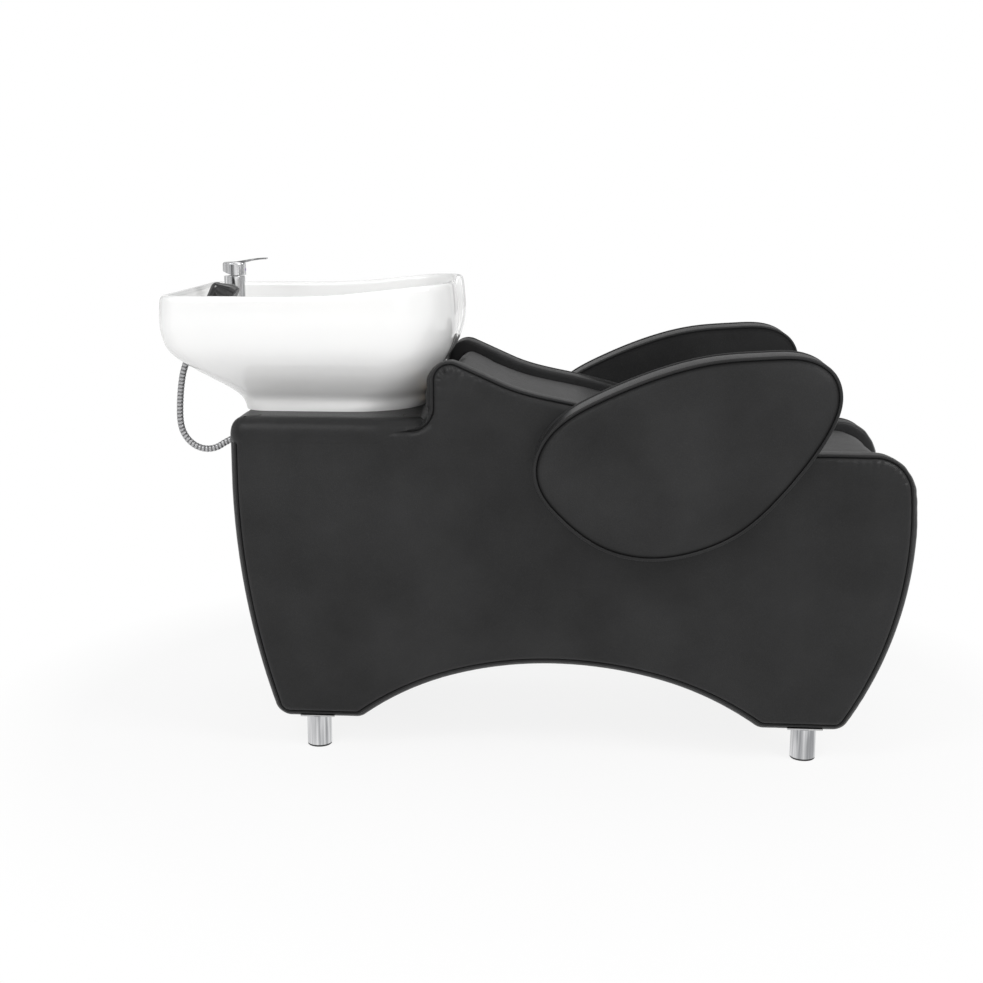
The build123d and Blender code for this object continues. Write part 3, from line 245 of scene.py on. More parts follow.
def sawn_timber():
    """Planed softwood: long grain with rings and darker streaks."""
    made = Finish("sawn_softwood", (0.55, 0.40, 0.24), 0.62)
    fibre = made.noise(1.0, 6.0, made.stretched((9.0, 130.0, 130.0)), 0.6)
    rings = made.noise(1.0, 2.0, made.stretched((2.5, 34.0, 34.0)))
    made.color(made.mix(fibre * 0.6 + rings * 0.4, (0.40, 0.26, 0.13, 1.0), (0.70, 0.54, 0.34, 1.0)))
    made.feed("Roughness", 0.52 + fibre * 0.22)
    made.bump(fibre, 0.0008, 0.4)
    return made.material


def moulded(name, dark, light, roughness, scale=900.0):
    """Moulded plastic or rubber with a spark-eroded skin."""
    made = Finish(name, (dark, dark, dark), roughness)
    skin = made.noise(scale, 2.0)
    cloud = made.noise(18.0, 3.0)
    made.color(made.mix(cloud, grey(dark), grey(light)))
    made.feed("Roughness", roughness - 0.06 + cloud * 0.12)
    made.bump(skin, 0.0002, 0.5)
    return made.material


def gloss_black():
    made = Finish("gloss_black", (0.012, 0.012, 0.013), 0.09, Coat_Weight=0.5, Coat_Roughness=0.04)
    cloud = made.noise(30.0, 3.0)
    made.color(made.mix(cloud, grey(0.009), grey(0.018)))
    made.feed("Roughness", 0.06 + cloud * 0.07)
    return made.material


def hot_and_cold():
    """Enamelled dot on the lever: blue on one side and red on the other."""
    made = Finish("temperature_dot", (0.25, 0.3, 0.4), 0.2)
    across = made.node("ShaderNodeSeparateXYZ", {}, {"Vector": made.place}).outputs["Y"]
    side = Level(made.tree, across) * 600.0 + 0.5
    made.color(made.mix(side, (0.03, 0.12, 0.45, 1.0), (0.50, 0.03, 0.03, 1.0)))
    made.feed("Roughness", 0.16 + made.noise(90.0) * 0.1)
    return made.material


def ribbed_hose():
    """Plastic hose with a silvered skin, its colour dark down in the grooves and light on the ribs' crests."""
    made = Finish("silvered_hose", (0.30, 0.30, 0.31), 0.3, Metallic=0.55)
    rib = made.attribute("rib")
    cloud = made.noise(60.0, 3.0)
    made.color(made.mix(rib * 0.85 + cloud * 0.2, grey(0.045), grey(0.52)))
    made.feed("Roughness", 0.42 - rib * 0.18 + cloud * 0.08)
    made.bump(made.noise(1300.0, 2.0), 0.0001, 0.4)
    return made.material


finishes = {
    "upholstery": leather("black_leather", 0.010, 0.034, 0.42, 0.9),
    "timber": sawn_timber(),
    "chrome": chrome(),
    "steel": zinc(),
    "rubber": moulded("black_rubber", 0.016, 0.03, 0.7),
    "ceramic": glaze(),
    "plastic": moulded("black_plastic", 0.03, 0.055, 0.42),
    "gloss_black": gloss_black(),
    "indicator": hot_and_cold(),
    "hose": ribbed_hose(),
}
piping_leather = leather("piping_leather", 0.010, 0.030, 0.46, 0.5)

for part in frame["record"]["subparts"]:
    shown = nodes[part["node"]]
    shown.data.materials.clear()
    shown.data.materials.append(finishes[part["material_slot"]])


# Mesh helpers
def linked(name, data):
    """A new object of that data, in the scene."""
    made = bpy.data.objects.new(name, data)
    scene.collection.objects.link(made)
    return made


def point_values(mesh, name, values):
    """Stores one value for each of a mesh's points, for a material to read."""
    layer = mesh.attributes.new(name, "FLOAT", "POINT")
    layer.data.foreach_set("value", np.asarray(values, np.float32))


def vectors(mesh, name="co"):
    """One vector of each of a mesh's points, as rows of an array."""
    found = np.empty(len(mesh.vertices) * 3)
    mesh.vertices.foreach_get(name, found)
    return found.reshape(-1, 3)


def finished(mesh, material):
    """Smooth shading and one material all over."""
    mesh.materials.clear()
    mesh.materials.append(material)
    mesh.polygons.foreach_set("use_smooth", np.ones(len(mesh.polygons), bool))


def mesh_piece(name, verts, faces, slot, material=None, seam=None):
    """A mesh object from whole arrays, riding on the base, with an optional seam value, 1 down in a seam,
    where the leather is painted in shade.
    """
    mesh = bpy.data.meshes.new(name)
    mesh.from_pydata(verts.tolist(), [], faces if isinstance(faces, list) else faces.tolist())
    mesh.validate()
    if seam is not None:
        point_values(mesh, "seam", seam)
    finished(mesh, material or finishes[slot])
    made = linked(name, mesh)
    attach(made, "base")
    return made


def tidy_mesh(obj, merge):
    """Joins doubled points and turns the faces outwards."""
    work = bmesh.new()
    work.from_mesh(obj.data)
    bmesh.ops.remove_doubles(work, verts=work.verts, dist=merge)
    bmesh.ops.recalc_face_normals(work, faces=work.faces)
    work.to_mesh(obj.data)
    work.free()


WELD = 1e-6


def ring_ends(rows, columns):
    """The two polygons that close a grid of rings at its first and its last ring."""
    return [list(range(columns))[::-1], list(range((rows - 1) * columns, rows * columns))]


def grid_quads(rows, columns, rows_closed=False, columns_closed=False):
    """Quads of a grid of points, row by row, with either direction closed on itself."""
    row = np.arange(rows if rows_closed else rows - 1)[:, None]
    column = np.arange(columns if columns_closed else columns - 1)[None, :]
    below, right = (row + 1) % rows, (column + 1) % columns
    return np.stack(
        [row * columns + column, row * columns + right, below * columns + right, below * columns + column], -1
    ).reshape(-1, 4)


def cubic(knots, values, slopes, at):
    """The cubic pieces with those values and slopes at the knots, read at each of the places."""
    place = np.clip(np.searchsorted(knots, at, side="right") - 1, 0, len(knots) - 2)
    step = knots[place + 1] - knots[place]
    share = (np.clip(at, knots[0], knots[-1]) - knots[place]) / step
    if values.ndim > 1:
        step, share = step[..., None], share[..., None]
    return (
        values[place] * (1 + 2 * share) * (1 - share) ** 2
        + slopes[place] * step * share * (1 - share) ** 2
        + values[place + 1] * share**2 * (3 - 2 * share)
        - slopes[place + 1] * step * share**2 * (1 - share)
    )


def smooth_through(knots, values, at):
    """A cubic curve through values at knots, its slope at each knot that of its neighbours' chord."""
    knots, values, at = np.asarray(knots, float), np.asarray(values, float), np.asarray(at, float)
    return cubic(knots, values, np.gradient(values, knots, axis=0), at)


def clamped_spline(points, first, last, count):
    """A curve through points with even curvature, leaving along first and arriving along last.

    The slopes at the points are the solution of the usual three-term system on chord lengths.
    """
    points = np.asarray(points, float)
    knots = np.concatenate([[0.0], np.cumsum(np.linalg.norm(np.diff(points, axis=0), axis=1))])
    spans = np.diff(knots)
    size = len(points)
    system, target = np.eye(size), np.zeros_like(points)
    inner = np.arange(1, size - 1)
    system[inner, inner - 1] = spans[1:]
    system[inner, inner] = 2 * (spans[1:] + spans[:-1])
    system[inner, inner + 1] = spans[:-1]
    rise = np.diff(points, axis=0) / spans[:, None]
    target[1:-1] = 3 * (rise[:-1] * spans[1:, None] + rise[1:] * spans[:-1, None])
    target[0], target[-1] = first, last
    return cubic(knots, points, np.linalg.solve(system, target), np.linspace(0, knots[-1], count))


def turned(vector, angles):
    """A plane vector turned anticlockwise by each of the angles."""
    cosine, sine = np.cos(angles), np.sin(angles)
    return np.stack([vector[0] * cosine - vector[1] * sine, vector[0] * sine + vector[1] * cosine], -1)


RUN_POINTS = 80


def tangent_arc(start, end, tangent):
    """A circular arc that leaves start along tangent and ends at end, and its direction at the end."""
    start, end, tangent = (np.asarray(item, float) for item in (start, end, tangent))
    chord = end - start
    left = np.array((-tangent[1], tangent[0]))
    radius = chord @ chord / (2 * (left @ chord))
    turn = 2 * math.atan2(left @ chord, tangent @ chord)
    centre = start + left * radius
    arc = centre + turned(start - centre, np.linspace(0, turn, RUN_POINTS))
    return arc, turned(tangent, np.array([turn]))[0]


def straight(start, end):
    return np.linspace(np.asarray(start, float), np.asarray(end, float), RUN_POINTS)


def lengths(path):
    """How far along an open path each of its points is."""
    return np.concatenate([[0.0], np.cumsum(np.linalg.norm(np.diff(path, axis=0), axis=1))])


def around(path):
    """How far round a closed path each of its points is."""
    return lengths(np.concatenate([path, path[:1]]))[:-1]


def part_of(path, low, high, count=120):
    """The stretch of a path between two distances along it."""
    along = lengths(path)
    at = np.linspace(low, high, count)
    return np.stack([np.interp(at, along, path[:, axis]) for axis in range(path.shape[1])], -1)


def joined(runs, radii):
    """A closed line of runs, with the corner after each run rounded by its radius.

    A corner's curve is a cubic between the tangent points, its handles a share of the way to the corner.
    """
    handle = 0.55
    runs = [part_of(run, 0, lengths(run)[-1], 400) for run in runs]
    cut = []
    for place, (run, radius) in enumerate(zip(runs, radii)):
        after = runs[(place + 1) % len(runs)]
        here, there = run[-1] - run[-2], after[1] - after[0]
        turn = abs(math.atan2(here[0] * there[1] - here[1] * there[0], here @ there))
        cut.append(radius * math.tan(turn / 2))
    pieces = []
    for place, run in enumerate(runs):
        pieces.append(part_of(run, cut[place - 1], lengths(run)[-1] - cut[place])[:-1])
        if cut[place]:
            after = runs[(place + 1) % len(runs)]
            first, corner = part_of(run, 0, lengths(run)[-1] - cut[place])[-1], run[-1]
            last = part_of(after, 0, cut[place])[-1]
            share = np.linspace(0, 1, 24)[:, None]
            near, far = first + (corner - first) * handle, last + (corner - last) * handle
            pieces.append(
                (
                    first * (1 - share) ** 3 + 3 * near * share * (1 - share) ** 2
                    + 3 * far * share**2 * (1 - share) + last * share**3
                )[:-1]
            )
    return np.concatenate(pieces)


def evenly(path, spacing, turn_step):
    """A closed path set out again, a point for each spacing or each turn_step of turning."""
    closed = np.concatenate([path, path[:1]])
    steps = np.diff(closed, axis=0)
    size = np.linalg.norm(steps, axis=1)
    steps, keep = steps[size > 1e-7], size > 1e-7
    heading = np.unwrap(np.arctan2(steps[:, 1], steps[:, 0]))
    turning = np.abs(np.diff(heading, append=heading[-1]))
    weight = size[keep] / spacing + turning / turn_step
    along = np.concatenate([[0.0], np.cumsum(weight)])
    corners = np.concatenate([closed[:-1][keep], closed[-1:]])
    at = np.linspace(0, along[-1], int(along[-1]), endpoint=False)
    return np.stack([np.interp(at, along, corners[:, axis]) for axis in (0, 1)], -1)


def outwards(path):
    """The unit direction to the left of travel at each point of a closed path."""
    run = np.roll(path, -1, axis=0) - np.roll(path, 1, axis=0)
    run /= np.linalg.norm(run, axis=1)[:, None]
    return np.stack([-run[:, 1], run[:, 0]], -1)


def with_height(plan, height):
    """Points (x, y, z) of a plan's points and one height, or one for each."""
    return np.concatenate([plan, np.broadcast_to(height, plan.shape[:1])[:, None]], axis=1)


# Side outline, the seam between a side's face and its boxing (mm)
def side_outline():
    """Ledge, step, shoulder, back and seat curve, rounded front, feet and arch: lines, arcs and one spline.

    Each side of the arch is two arcs, the crown's and the foot's, that meet at a share of its run and rise.
    """
    rear, ledge, corner, step, step_radius = -598, 672, 18, -200, 45
    top, shoulder_radius, slope, slope_length = 806, 34, math.radians(24.0), 94.01
    seat, front_end, nose_radius, lean = 631, 740.1, 60, math.radians(8.0)
    foot, rear_bend = 78, 578
    rear_foot, rear_inner, front_inner, front_foot = -515, -357, 467, 623
    crown, crown_height, meet_run, meet_rise = 44, 203, 0.52, 0.765

    shoulder_end = np.array((
        step + shoulder_radius * (1 + math.sin(slope)), top - shoulder_radius * (1 - math.cos(slope)),
    ))
    fall = np.array((math.cos(slope), -math.sin(slope)))
    slope_end = shoulder_end + fall * slope_length
    shares = np.array(((0.29, 0.555), (0.401, 0.412), (0.55, 0.172), (0.688, -0.008), (0.795, 0.0)))
    seat_points = np.array((step, seat)) + shares * (front_end - step, top - seat)
    seat_end = np.array((664.1, seat))
    nose_end = np.array((
        front_end - nose_radius * (1 - math.cos(lean)), seat - nose_radius * (1 + math.sin(lean)),
    ))
    nose, nose_way = tangent_arc(seat_end, nose_end, (1, 0))
    front, _ = tangent_arc(nose_end, (front_foot, foot), nose_way)
    arch = []
    for inner, forwards in ((front_inner, 1), (rear_inner, -1)):
        meet = crown + (inner - crown) * meet_run, foot + (crown_height - foot) * meet_rise
        over, way = tangent_arc((crown, crown_height), meet, (forwards, 0))
        arch += [over, tangent_arc(meet, (inner, foot), way)[0]]
    rear_curve, _ = tangent_arc((rear, rear_bend), (rear_foot, foot), (0, -1))
    runs = [
        straight((rear + corner, ledge), (step - step_radius, ledge)),
        tangent_arc((step - step_radius, ledge), (step, ledge + step_radius), (1, 0))[0],
        straight((step, ledge + step_radius), (step, top - shoulder_radius)),
        tangent_arc((step, top - shoulder_radius), shoulder_end, (0, 1))[0],
        straight(shoulder_end, slope_end),
        clamped_spline([slope_end, *seat_points, seat_end], fall, (1, 0), 400),
        nose,
        front,
        straight((front_foot, foot), (front_inner, foot)),
        np.concatenate([arch[1][::-1], arch[0][::-1][1:], arch[2][1:], arch[3][1:]]),
        straight((rear_inner, foot), (rear_foot, foot)),
        rear_curve[::-1],
        straight((rear, rear_bend), (rear, ledge - corner)),
        tangent_arc((rear, ledge - corner), (rear + corner, ledge), (0, 1))[0],
    ]
    radii = [0, 0, 0, 0, 0, 0, 0, 22, 16, 16, 22, 0, 0, 0]
    return evenly(joined(runs, radii), 4.0, math.radians(5))


outline = side_outline()
outline_way = outwards(outline)
outline_run = around(outline)


def ripple(along, waves, seed):
    """Uneven puckers along a seam: sines of the given wavelengths (mm) with seeded phases, from -1 to 1."""
    phases = np.random.default_rng(seed).uniform(0, 2 * math.pi, (len(waves), 2))
    total = sum(
        np.sin(along * 2 * math.pi / wave + phase[0]) * (0.6 + 0.4 * np.sin(along / (3.1 * wave) + phase[1]))
        for wave, phase in zip(waves, phases)
    )
    return total / len(waves)


# Where the leather is gathered: x, z, spread and amount at the shoulder, the step and three corners
GATHERS = (
    (-165, 795, 62, 2.4), (-200, 700, 50, 1.6), (715, 600, 85, 1.6), (615, 95, 60, 0.9), (-505, 95, 60, 0.7),
)
PUCKER_WAVES = (15.0, 24.0, 41.0)


def outline_ripple(waves, seed):
    """Puckers along the side's outline, stronger where the leather is gathered."""
    total = 0.3
    for x, z, spread, amount in GATHERS:
        away = (outline[:, 0] - x) ** 2 + (outline[:, 1] - z) ** 2
        total = total + amount * np.exp(-away / (2 * spread**2))
    return ripple(outline_run, waves, seed) * total


def pucker_reach(away):
    """How far the puckers show at a distance from the seam: none in it, most at 13 mm, fading over 26 mm."""
    return 1.6 * (1 - np.exp(-away / 11.0)) * np.exp(-away / 26.0)


def side_rings(stations, sign, seed, pucker=0.0):
    """The side outline carried over a profile of (inset, out) stations in mm; out is from the centre plane.

    Where a station lies outside the outline its swell is full at the ends and below, and a fifth at the top.
    """
    inset, out = np.array(stations, float).T
    full = 1 - 0.8 * np.clip(outline_way[:, 1], 0, 1) ** 0.7
    inset = inset[:, None]
    place = outline[None] - outline_way[None] * np.where(inset < 0, inset * full, inset)[..., None]
    wave = outline_ripple(PUCKER_WAVES, seed)
    depth = out[:, None] - pucker * pucker_reach(np.abs(inset - inset[0])) * (1 + wave[None])
    return np.stack([place[..., 0], depth * sign, place[..., 1]], -1) * MM


def nearest(points, border):
    """Each point's distance to the nearest point of a border, and which that is."""
    tree = KDTree(len(border))
    for place, (x, z) in enumerate(border):
        tree.insert((x, z, 0.0), place)
    tree.balance()
    found = [tree.find((x, z, 0.0)) for x, z in points]
    return np.array([hit[2] for hit in found]), np.array([hit[1] for hit in found])


def inner_field(border, spacing):
    """Points and triangles that fill a closed border: a staggered grid joined to it by a Delaunay net."""
    low, high = border.min(axis=0), border.max(axis=0)
    rows = np.arange(low[1], high[1], spacing * 0.87)
    columns = np.arange(low[0], high[0], spacing)
    grid = np.stack(np.meshgrid(columns, rows), -1)
    grid[1::2, :, 0] += spacing / 2
    grid = grid.reshape(-1, 2)
    after = np.roll(border, -1, axis=0)
    # a point is inside where a ray to the right crosses the border an odd number of times
    spans = (border[None, :, 1] > grid[:, None, 1]) != (after[None, :, 1] > grid[:, None, 1])
    rise = np.where(after[:, 1] == border[:, 1], 1e-9, after[:, 1] - border[:, 1])
    cross = border[:, 0] + (grid[:, None, 1] - border[:, 1]) * (after[:, 0] - border[:, 0]) / rise
    inside = (spans & (cross > grid[:, None, 0])).sum(axis=1) % 2 == 1
    grid = grid[inside]
    grid = grid[nearest(grid, border)[0] > spacing * 0.55]
    count = len(border)
    edges = [(place, (place + 1) % count) for place in range(count)]
    given = [tuple(point) for point in np.concatenate([border, grid])]
    points, _, faces, *_ = delaunay_2d_cdt(given, edges, [], 1, 1e-5)
    return np.array([tuple(point) for point in points]), np.array([list(face) for face in faces])


def side_face(name, node, sign, stations, far, seed, pucker, crown, spacing):
    """One side's leather face: rings of a rolled edge and a field inside them, crowned towards the middle."""
    rings = side_rings(stations, sign, seed, pucker)
    count = len(outline)
    ring_faces = grid_quads(len(stations), count, columns_closed=True)
    border = outline - outline_way * stations[-1][0]
    points, triangles = inner_field(border, spacing)
    away, near = nearest(points, border)
    wave = outline_ripple(PUCKER_WAVES, seed)
    reach = pucker_reach(abs(stations[-1][0] - stations[0][0]) + away)
    out = stations[-1][1] - pucker * reach * (1 + wave[near]) + crown * (1 - np.exp(-away / 45.0))
    slow = ripple(points[:, 0] + points[:, 1] * 0.35, (210.0, 330.0), seed + 7)
    out = out + crown * 0.35 * slow * (1 - np.exp(-away / 60.0))
    field = np.stack([points[:, 0], out * sign, points[:, 1]], -1) * MM
    verts = np.concatenate([rings.reshape(-1, 3), field])
    faces = ring_faces.tolist() + (triangles + rings.shape[0] * count).tolist()
    # Painted shade: the seam value darkens the rings down in the seam along the outline; the field inside has
    # none.
    deep = np.linalg.norm(np.array(stations) - stations[0], axis=1)
    seam = np.concatenate([np.repeat(np.exp(-((deep / 6.0) ** 2)), count), np.zeros(len(points))])
    made = mesh_piece(name, verts, faces, "upholstery", seam=seam)
    tidy_mesh(made, 0.0002)
    turn_to(made, (0.0, far * sign, 0.0))
    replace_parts(made, node)


def turn_to(obj, way):
    """Turns all of an open sheet's faces over if they look away from the given direction on average."""
    work = bmesh.new()
    work.from_mesh(obj.data)
    if sum(face.normal.dot(way) * face.calc_area() for face in work.faces) < 0:
        bmesh.ops.reverse_faces(work, faces=work.faces)
    work.to_mesh(obj.data)
    work.free()


# Profiles of a side, each station its inset from the outline and its distance from the centre plane (mm)
COVER = [(2.0, 240.0), (2.3, 243.5), (3.6, 247.2), (5.8, 250.4), (8.4, 252.6), (11.2, 254.0), (14.0, 254.7)]
BOXING = [
    (3.5, 241.5), (0.4, 240.7), (-4.0, 238.6), (-9.0, 233.8), (-12.8, 227.0), (-14.6, 218.5), (-14.2, 209.5),
    (-11.8, 201.5), (-7.6, 195.2), (-2.6, 191.8), (2.6, 190.5), (8.0, 190.15), (16.0, 190.1), (24.0, 190.1),
]
LINING = [(14.0, 190.6), (14.6, 190.35), (15.0, 190.3)]

for side, sign in SIDES:
    side_face(f"side_face_{side}", f"side_cover_{side}", sign, COVER, 1, 11, 2.4, 2.2, 6.0)
    side_face(f"side_inside_{side}", f"side_lining_{side}", sign, LINING, -1, 23, 0.0, 0.0, 14.0)
    rings = side_rings(BOXING, sign, 31)
    wave = outline_ripple((23.0, 37.0, 71.0), 5)
    swell = np.sin(np.linspace(0, math.pi, len(BOXING))) * 0.5 * MM
    rings[..., ::2] += (wave[:, None] * outline_way)[None] * swell[:, None, None]
    # Painted shade: the seam value darkens the boxing's first rings, down in the seam.
    deep = np.linalg.norm(np.array(BOXING) - BOXING[0], axis=1)
    seam = np.repeat(np.exp(-((deep / 4.0) ** 2)), len(outline))
    boxing = mesh_piece(
        f"side_boxing_{side}", rings.reshape(-1, 3),
        grid_quads(len(BOXING), len(outline), columns_closed=True)[:, :: int(-sign)], "upholstery", seam=seam,
    )
    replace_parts(boxing, f"side_border_{side}")


def tube(name, path, radius, closed, slot, material=None, sides=12):
    """A round tube along a path at one Y, its radius (mm) one number or one for each point of the path."""
    if closed:
        run = np.roll(path, -1, axis=0) - np.roll(path, 1, axis=0)
    else:
        run = np.gradient(path, axis=0)
    run /= np.linalg.norm(run, axis=1)[:, None]
    across = np.broadcast_to((0.0, 1.0, 0.0), path.shape)
    up = np.cross(run, across)
    angle = np.linspace(0, 2 * math.pi, sides, endpoint=False)[None, :, None]
    reach = np.broadcast_to(radius * MM, len(path))[:, None, None]
    verts = path[:, None] + reach * (np.cos(angle) * across[:, None] + np.sin(angle) * up[:, None])
    faces = grid_quads(len(path), sides, rows_closed=closed, columns_closed=True).tolist()
    if not closed:
        faces += ring_ends(len(path), sides)
    made = mesh_piece(name, verts.reshape(-1, 3), faces, slot, material)
    tidy_mesh(made, WELD)
    return made


def welt(name, line, out, radius, closed, node):
    """Piping along a line (x, z) at a distance out from the centre plane (mm)."""
    path = np.stack([line[:, 0], np.full(len(line), out), line[:, 1]], -1) * MM
    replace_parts(tube(name, path, radius, closed, "upholstery", piping_leather), node)


# Piping round each side, left off along the ledge where the leather rolls over softly
ledge_span, ledge_band = (-580, -202), (600, 705)
bare = ((outline > (ledge_span[0], ledge_band[0])) & (outline < (ledge_span[1], ledge_band[1]))).all(axis=1)
first = int(np.flatnonzero(bare & ~np.roll(bare, -1))[0])
order = np.roll(np.arange(len(outline)), -first)
order = order[~np.roll(bare, -first)]
for side, sign in SIDES:
    line = outline[order] + outline_way[order] * 0.4
    welt(f"side_welt_{side}", line, 242.6 * sign, 3.3, False, f"side_piping_{side}")


# Arm pods: the oval's points as shares of its box, and the profile's stations as insets and distances out (mm)
ARM_SHARES = (
    (0.0, 0.4515), (0.035, 0.592), (0.084, 0.671), (0.2154, 0.788), (0.41, 0.908), (0.602, 0.98),
    (0.762, 1.0), (0.907, 0.987), (0.974, 0.921), (1.0, 0.801), (0.981, 0.681), (0.921, 0.5204),
    (0.8144, 0.3138), (0.688, 0.1378), (0.557, 0.0434), (0.392, 0.0), (0.2242, 0.0536),
    (0.0893, 0.1964), (0.0105, 0.352),
)


def arm_outline():
    """The pod's oval: an even curve through its points, run on past both ends so that it closes."""
    points = np.array((5.5, 443.0)) + np.array(ARM_SHARES) * (571.0, 392.0)
    wrapped = np.concatenate([points[-4:], points, points[:5]])
    first, last = wrapped[1] - wrapped[0], wrapped[-1] - wrapped[-2]
    steps = 2800
    curve = clamped_spline(wrapped, first / np.linalg.norm(first), last / np.linalg.norm(last), steps)
    away = np.linalg.norm(curve - points[0], axis=1)
    start, end = away[: steps // 2].argmin(), steps - 1 - away[steps // 2 :][::-1].argmin()
    return evenly(curve[start:end], 6.0, math.radians(6))


oval = arm_outline()
oval_way = outwards(oval)
oval_run = around(oval)
oval_middle = oval.mean(axis=0)
POD_BOXING = [
    (12.0, 254.5), (5.0, 254.9), (2.2, 257.0), (0.9, 261.0), (0.0, 268), (-1.1, 280), (-1.9, 293),
    (-2.2, 305), (-1.9, 318), (-1.1, 331), (0.0, 341), (1.0, 348.5), (2.4, 352.6),
]
POD_ROLL = [(4.4, 355.6), (7.2, 357.6), (11.0, 359.4), (16.0, 361.0), (23.0, 362.6)]
POD_NOSE = (560, 560)


def arm_pod(side, sign):
    """A pod: boxing with a slight bulge, a rolled edge, then rings that shrink to the middle and rise.

    A ring's rise is the crown times one less the square of its share of the rolled edge's oval. The puckers
    fade from the seam and are strongest at the pod's nose.
    """
    crown, lift = 3.2, 0.3
    stations = np.array(POD_BOXING + POD_ROLL)
    first, flat = len(POD_BOXING), 3
    place = oval[None] - oval_way[None] * stations[:, 0][:, None, None]
    wave = ripple(oval_run, (21.0, 34.0, 57.0), 3)
    gather = 0.4 + 0.9 * np.exp(-((oval - POD_NOSE) ** 2).sum(axis=1) / 2 / 90**2)
    depth = np.repeat(stations[:, 1][:, None], len(oval), axis=1)
    fade = np.exp(-(stations[first:, 0] - POD_ROLL[0][0]) / 14.0)
    depth[first:] -= 0.8 * fade[:, None] * (1 + wave * gather)[None]
    bulge = np.sin(np.linspace(0, math.pi, first - flat))
    place[flat:first] += (oval_way * (wave * 0.35)[:, None])[None] * bulge[:, None, None]
    shares = np.array((0.86, 0.76, 0.65, 0.54, 0.43, 0.32, 0.21, 0.10))
    inner = oval_middle + (place[-1] - oval_middle)[None] * shares[:, None, None]
    rise = POD_ROLL[-1][1] + crown * (1 - shares**2) + lift
    slow = ripple(inner[..., 0] + 0.6 * inner[..., 1], (140.0, 230.0), 9)
    place = np.concatenate([place, inner])
    depth = np.concatenate([depth, rise[:, None] + 0.7 * slow])
    verts = np.stack([place[..., 0], depth * sign, place[..., 1]], -1).reshape(-1, 3)
    verts = np.concatenate([verts, [[oval_middle[0], (rise[-1] + 0.2) * sign, oval_middle[1]]]]) * MM
    rows, columns = place.shape[:2]
    faces = grid_quads(rows, columns, columns_closed=True).tolist()
    last = np.arange((rows - 1) * columns, rows * columns)
    faces += np.stack([last, np.roll(last, -1), np.full(columns, rows * columns)], -1).tolist()
    faces += ring_ends(rows, columns)[:1]
    # Painted shade: the seam value darkens the rings at the pod's two seams, the boxing's and the rolled
    # edge's.
    row = np.arange(rows)
    seam = np.maximum(np.exp(-(((row - 2.0) / 1.3) ** 2)), np.exp(-(((row - first + 0.4) / 1.5) ** 2)))
    made = mesh_piece(
        f"arm_pod_{side}", verts, faces, "upholstery", seam=np.concatenate([np.repeat(seam, columns), [0.0]])
    )
    tidy_mesh(made, 0.00001)
    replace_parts(made, f"arm_pad_{side}")


for side, sign in SIDES:
    arm_pod(side, sign)
    for label, out, inset in (("outer", 353.6, 1.2), ("inner", 259.0, 1.0)):
        line = oval - oval_way * inset
        welt(f"arm_welt_{label}_{side}", line, out * sign, 3.4, True, f"arm_piping_{side}")


# Cushions: the solid is remeshed, blown up as cloth, and its swelling kept to the faces that show
CHANNEL = 189.6 * MM
CORE = np.array((0.08, 0.0, 0.30))


def settle(obj):
    """Turns an object's modifiers into its mesh."""
    ready = obj.evaluated_get(bpy.context.evaluated_depsgraph_get())
    mesh = bpy.data.meshes.new_from_object(ready)
    obj.modifiers.clear()
    obj.data = mesh


def stuffed(name, node, voxel, cap):
    """A padded piece from a CAD solid: voxel remesh, cloth under pressure, then kept between the sides.

    A point's swelling is capped, and weighted by how far its normal looks away from the bed's core.
    """
    made = linked(name, nodes[node].data.copy())
    tidy_mesh(made, 0.00001)
    remesh = made.modifiers.new("skin", "REMESH")
    remesh.mode, remesh.voxel_size, remesh.use_smooth_shade = "VOXEL", voxel * MM, True
    settle(made)
    rest, normal = vectors(made.data), vectors(made.data, "normal")
    frames = 20
    cloth = made.modifiers.new("stuffing", "CLOTH")
    cloth.settings.use_pressure = True
    cloth.settings.uniform_pressure_force = 4.0
    cloth.settings.quality = 4
    cloth.settings.mass = 0.4
    cloth.settings.effector_weights.gravity = 0.0
    cloth.point_cache.frame_start, cloth.point_cache.frame_end = 1, frames
    for step in range(1, frames + 1):
        scene.frame_set(step)
    settle(made)
    scene.frame_set(1)
    move = vectors(made.data) - rest
    size = np.linalg.norm(move, axis=1)
    move *= np.minimum(1.0, cap * MM / np.maximum(size, 1e-9))[:, None]
    facing = ((rest - CORE) / np.linalg.norm(rest - CORE, axis=1)[:, None] * normal).sum(axis=1)
    place = rest + move * np.clip(facing * 2.5, 0, 1)[:, None]
    place[:, 1] = np.clip(place[:, 1], -CHANNEL, CHANNEL)
    made.data.vertices.foreach_set("co", place.ravel())
    # Painted shade: the seam value darkens the leather towards the side panels, where the cushion meets them.
    point_values(made.data, "seam", np.exp(-(CHANNEL - np.abs(place[:, 1])) / 0.004) * 0.8)
    finished(made.data, finishes["upholstery"])
    made.data.update()
    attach(made, "base")
    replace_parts(made, node)


stuffed("seat_pad", "seat_cushion", 6.0, 7.0)
stuffed("front_padding", "front_pad", 5.0, 6.0)
stuffed("riser_padding", "riser_pad", 4.0, 4.0)


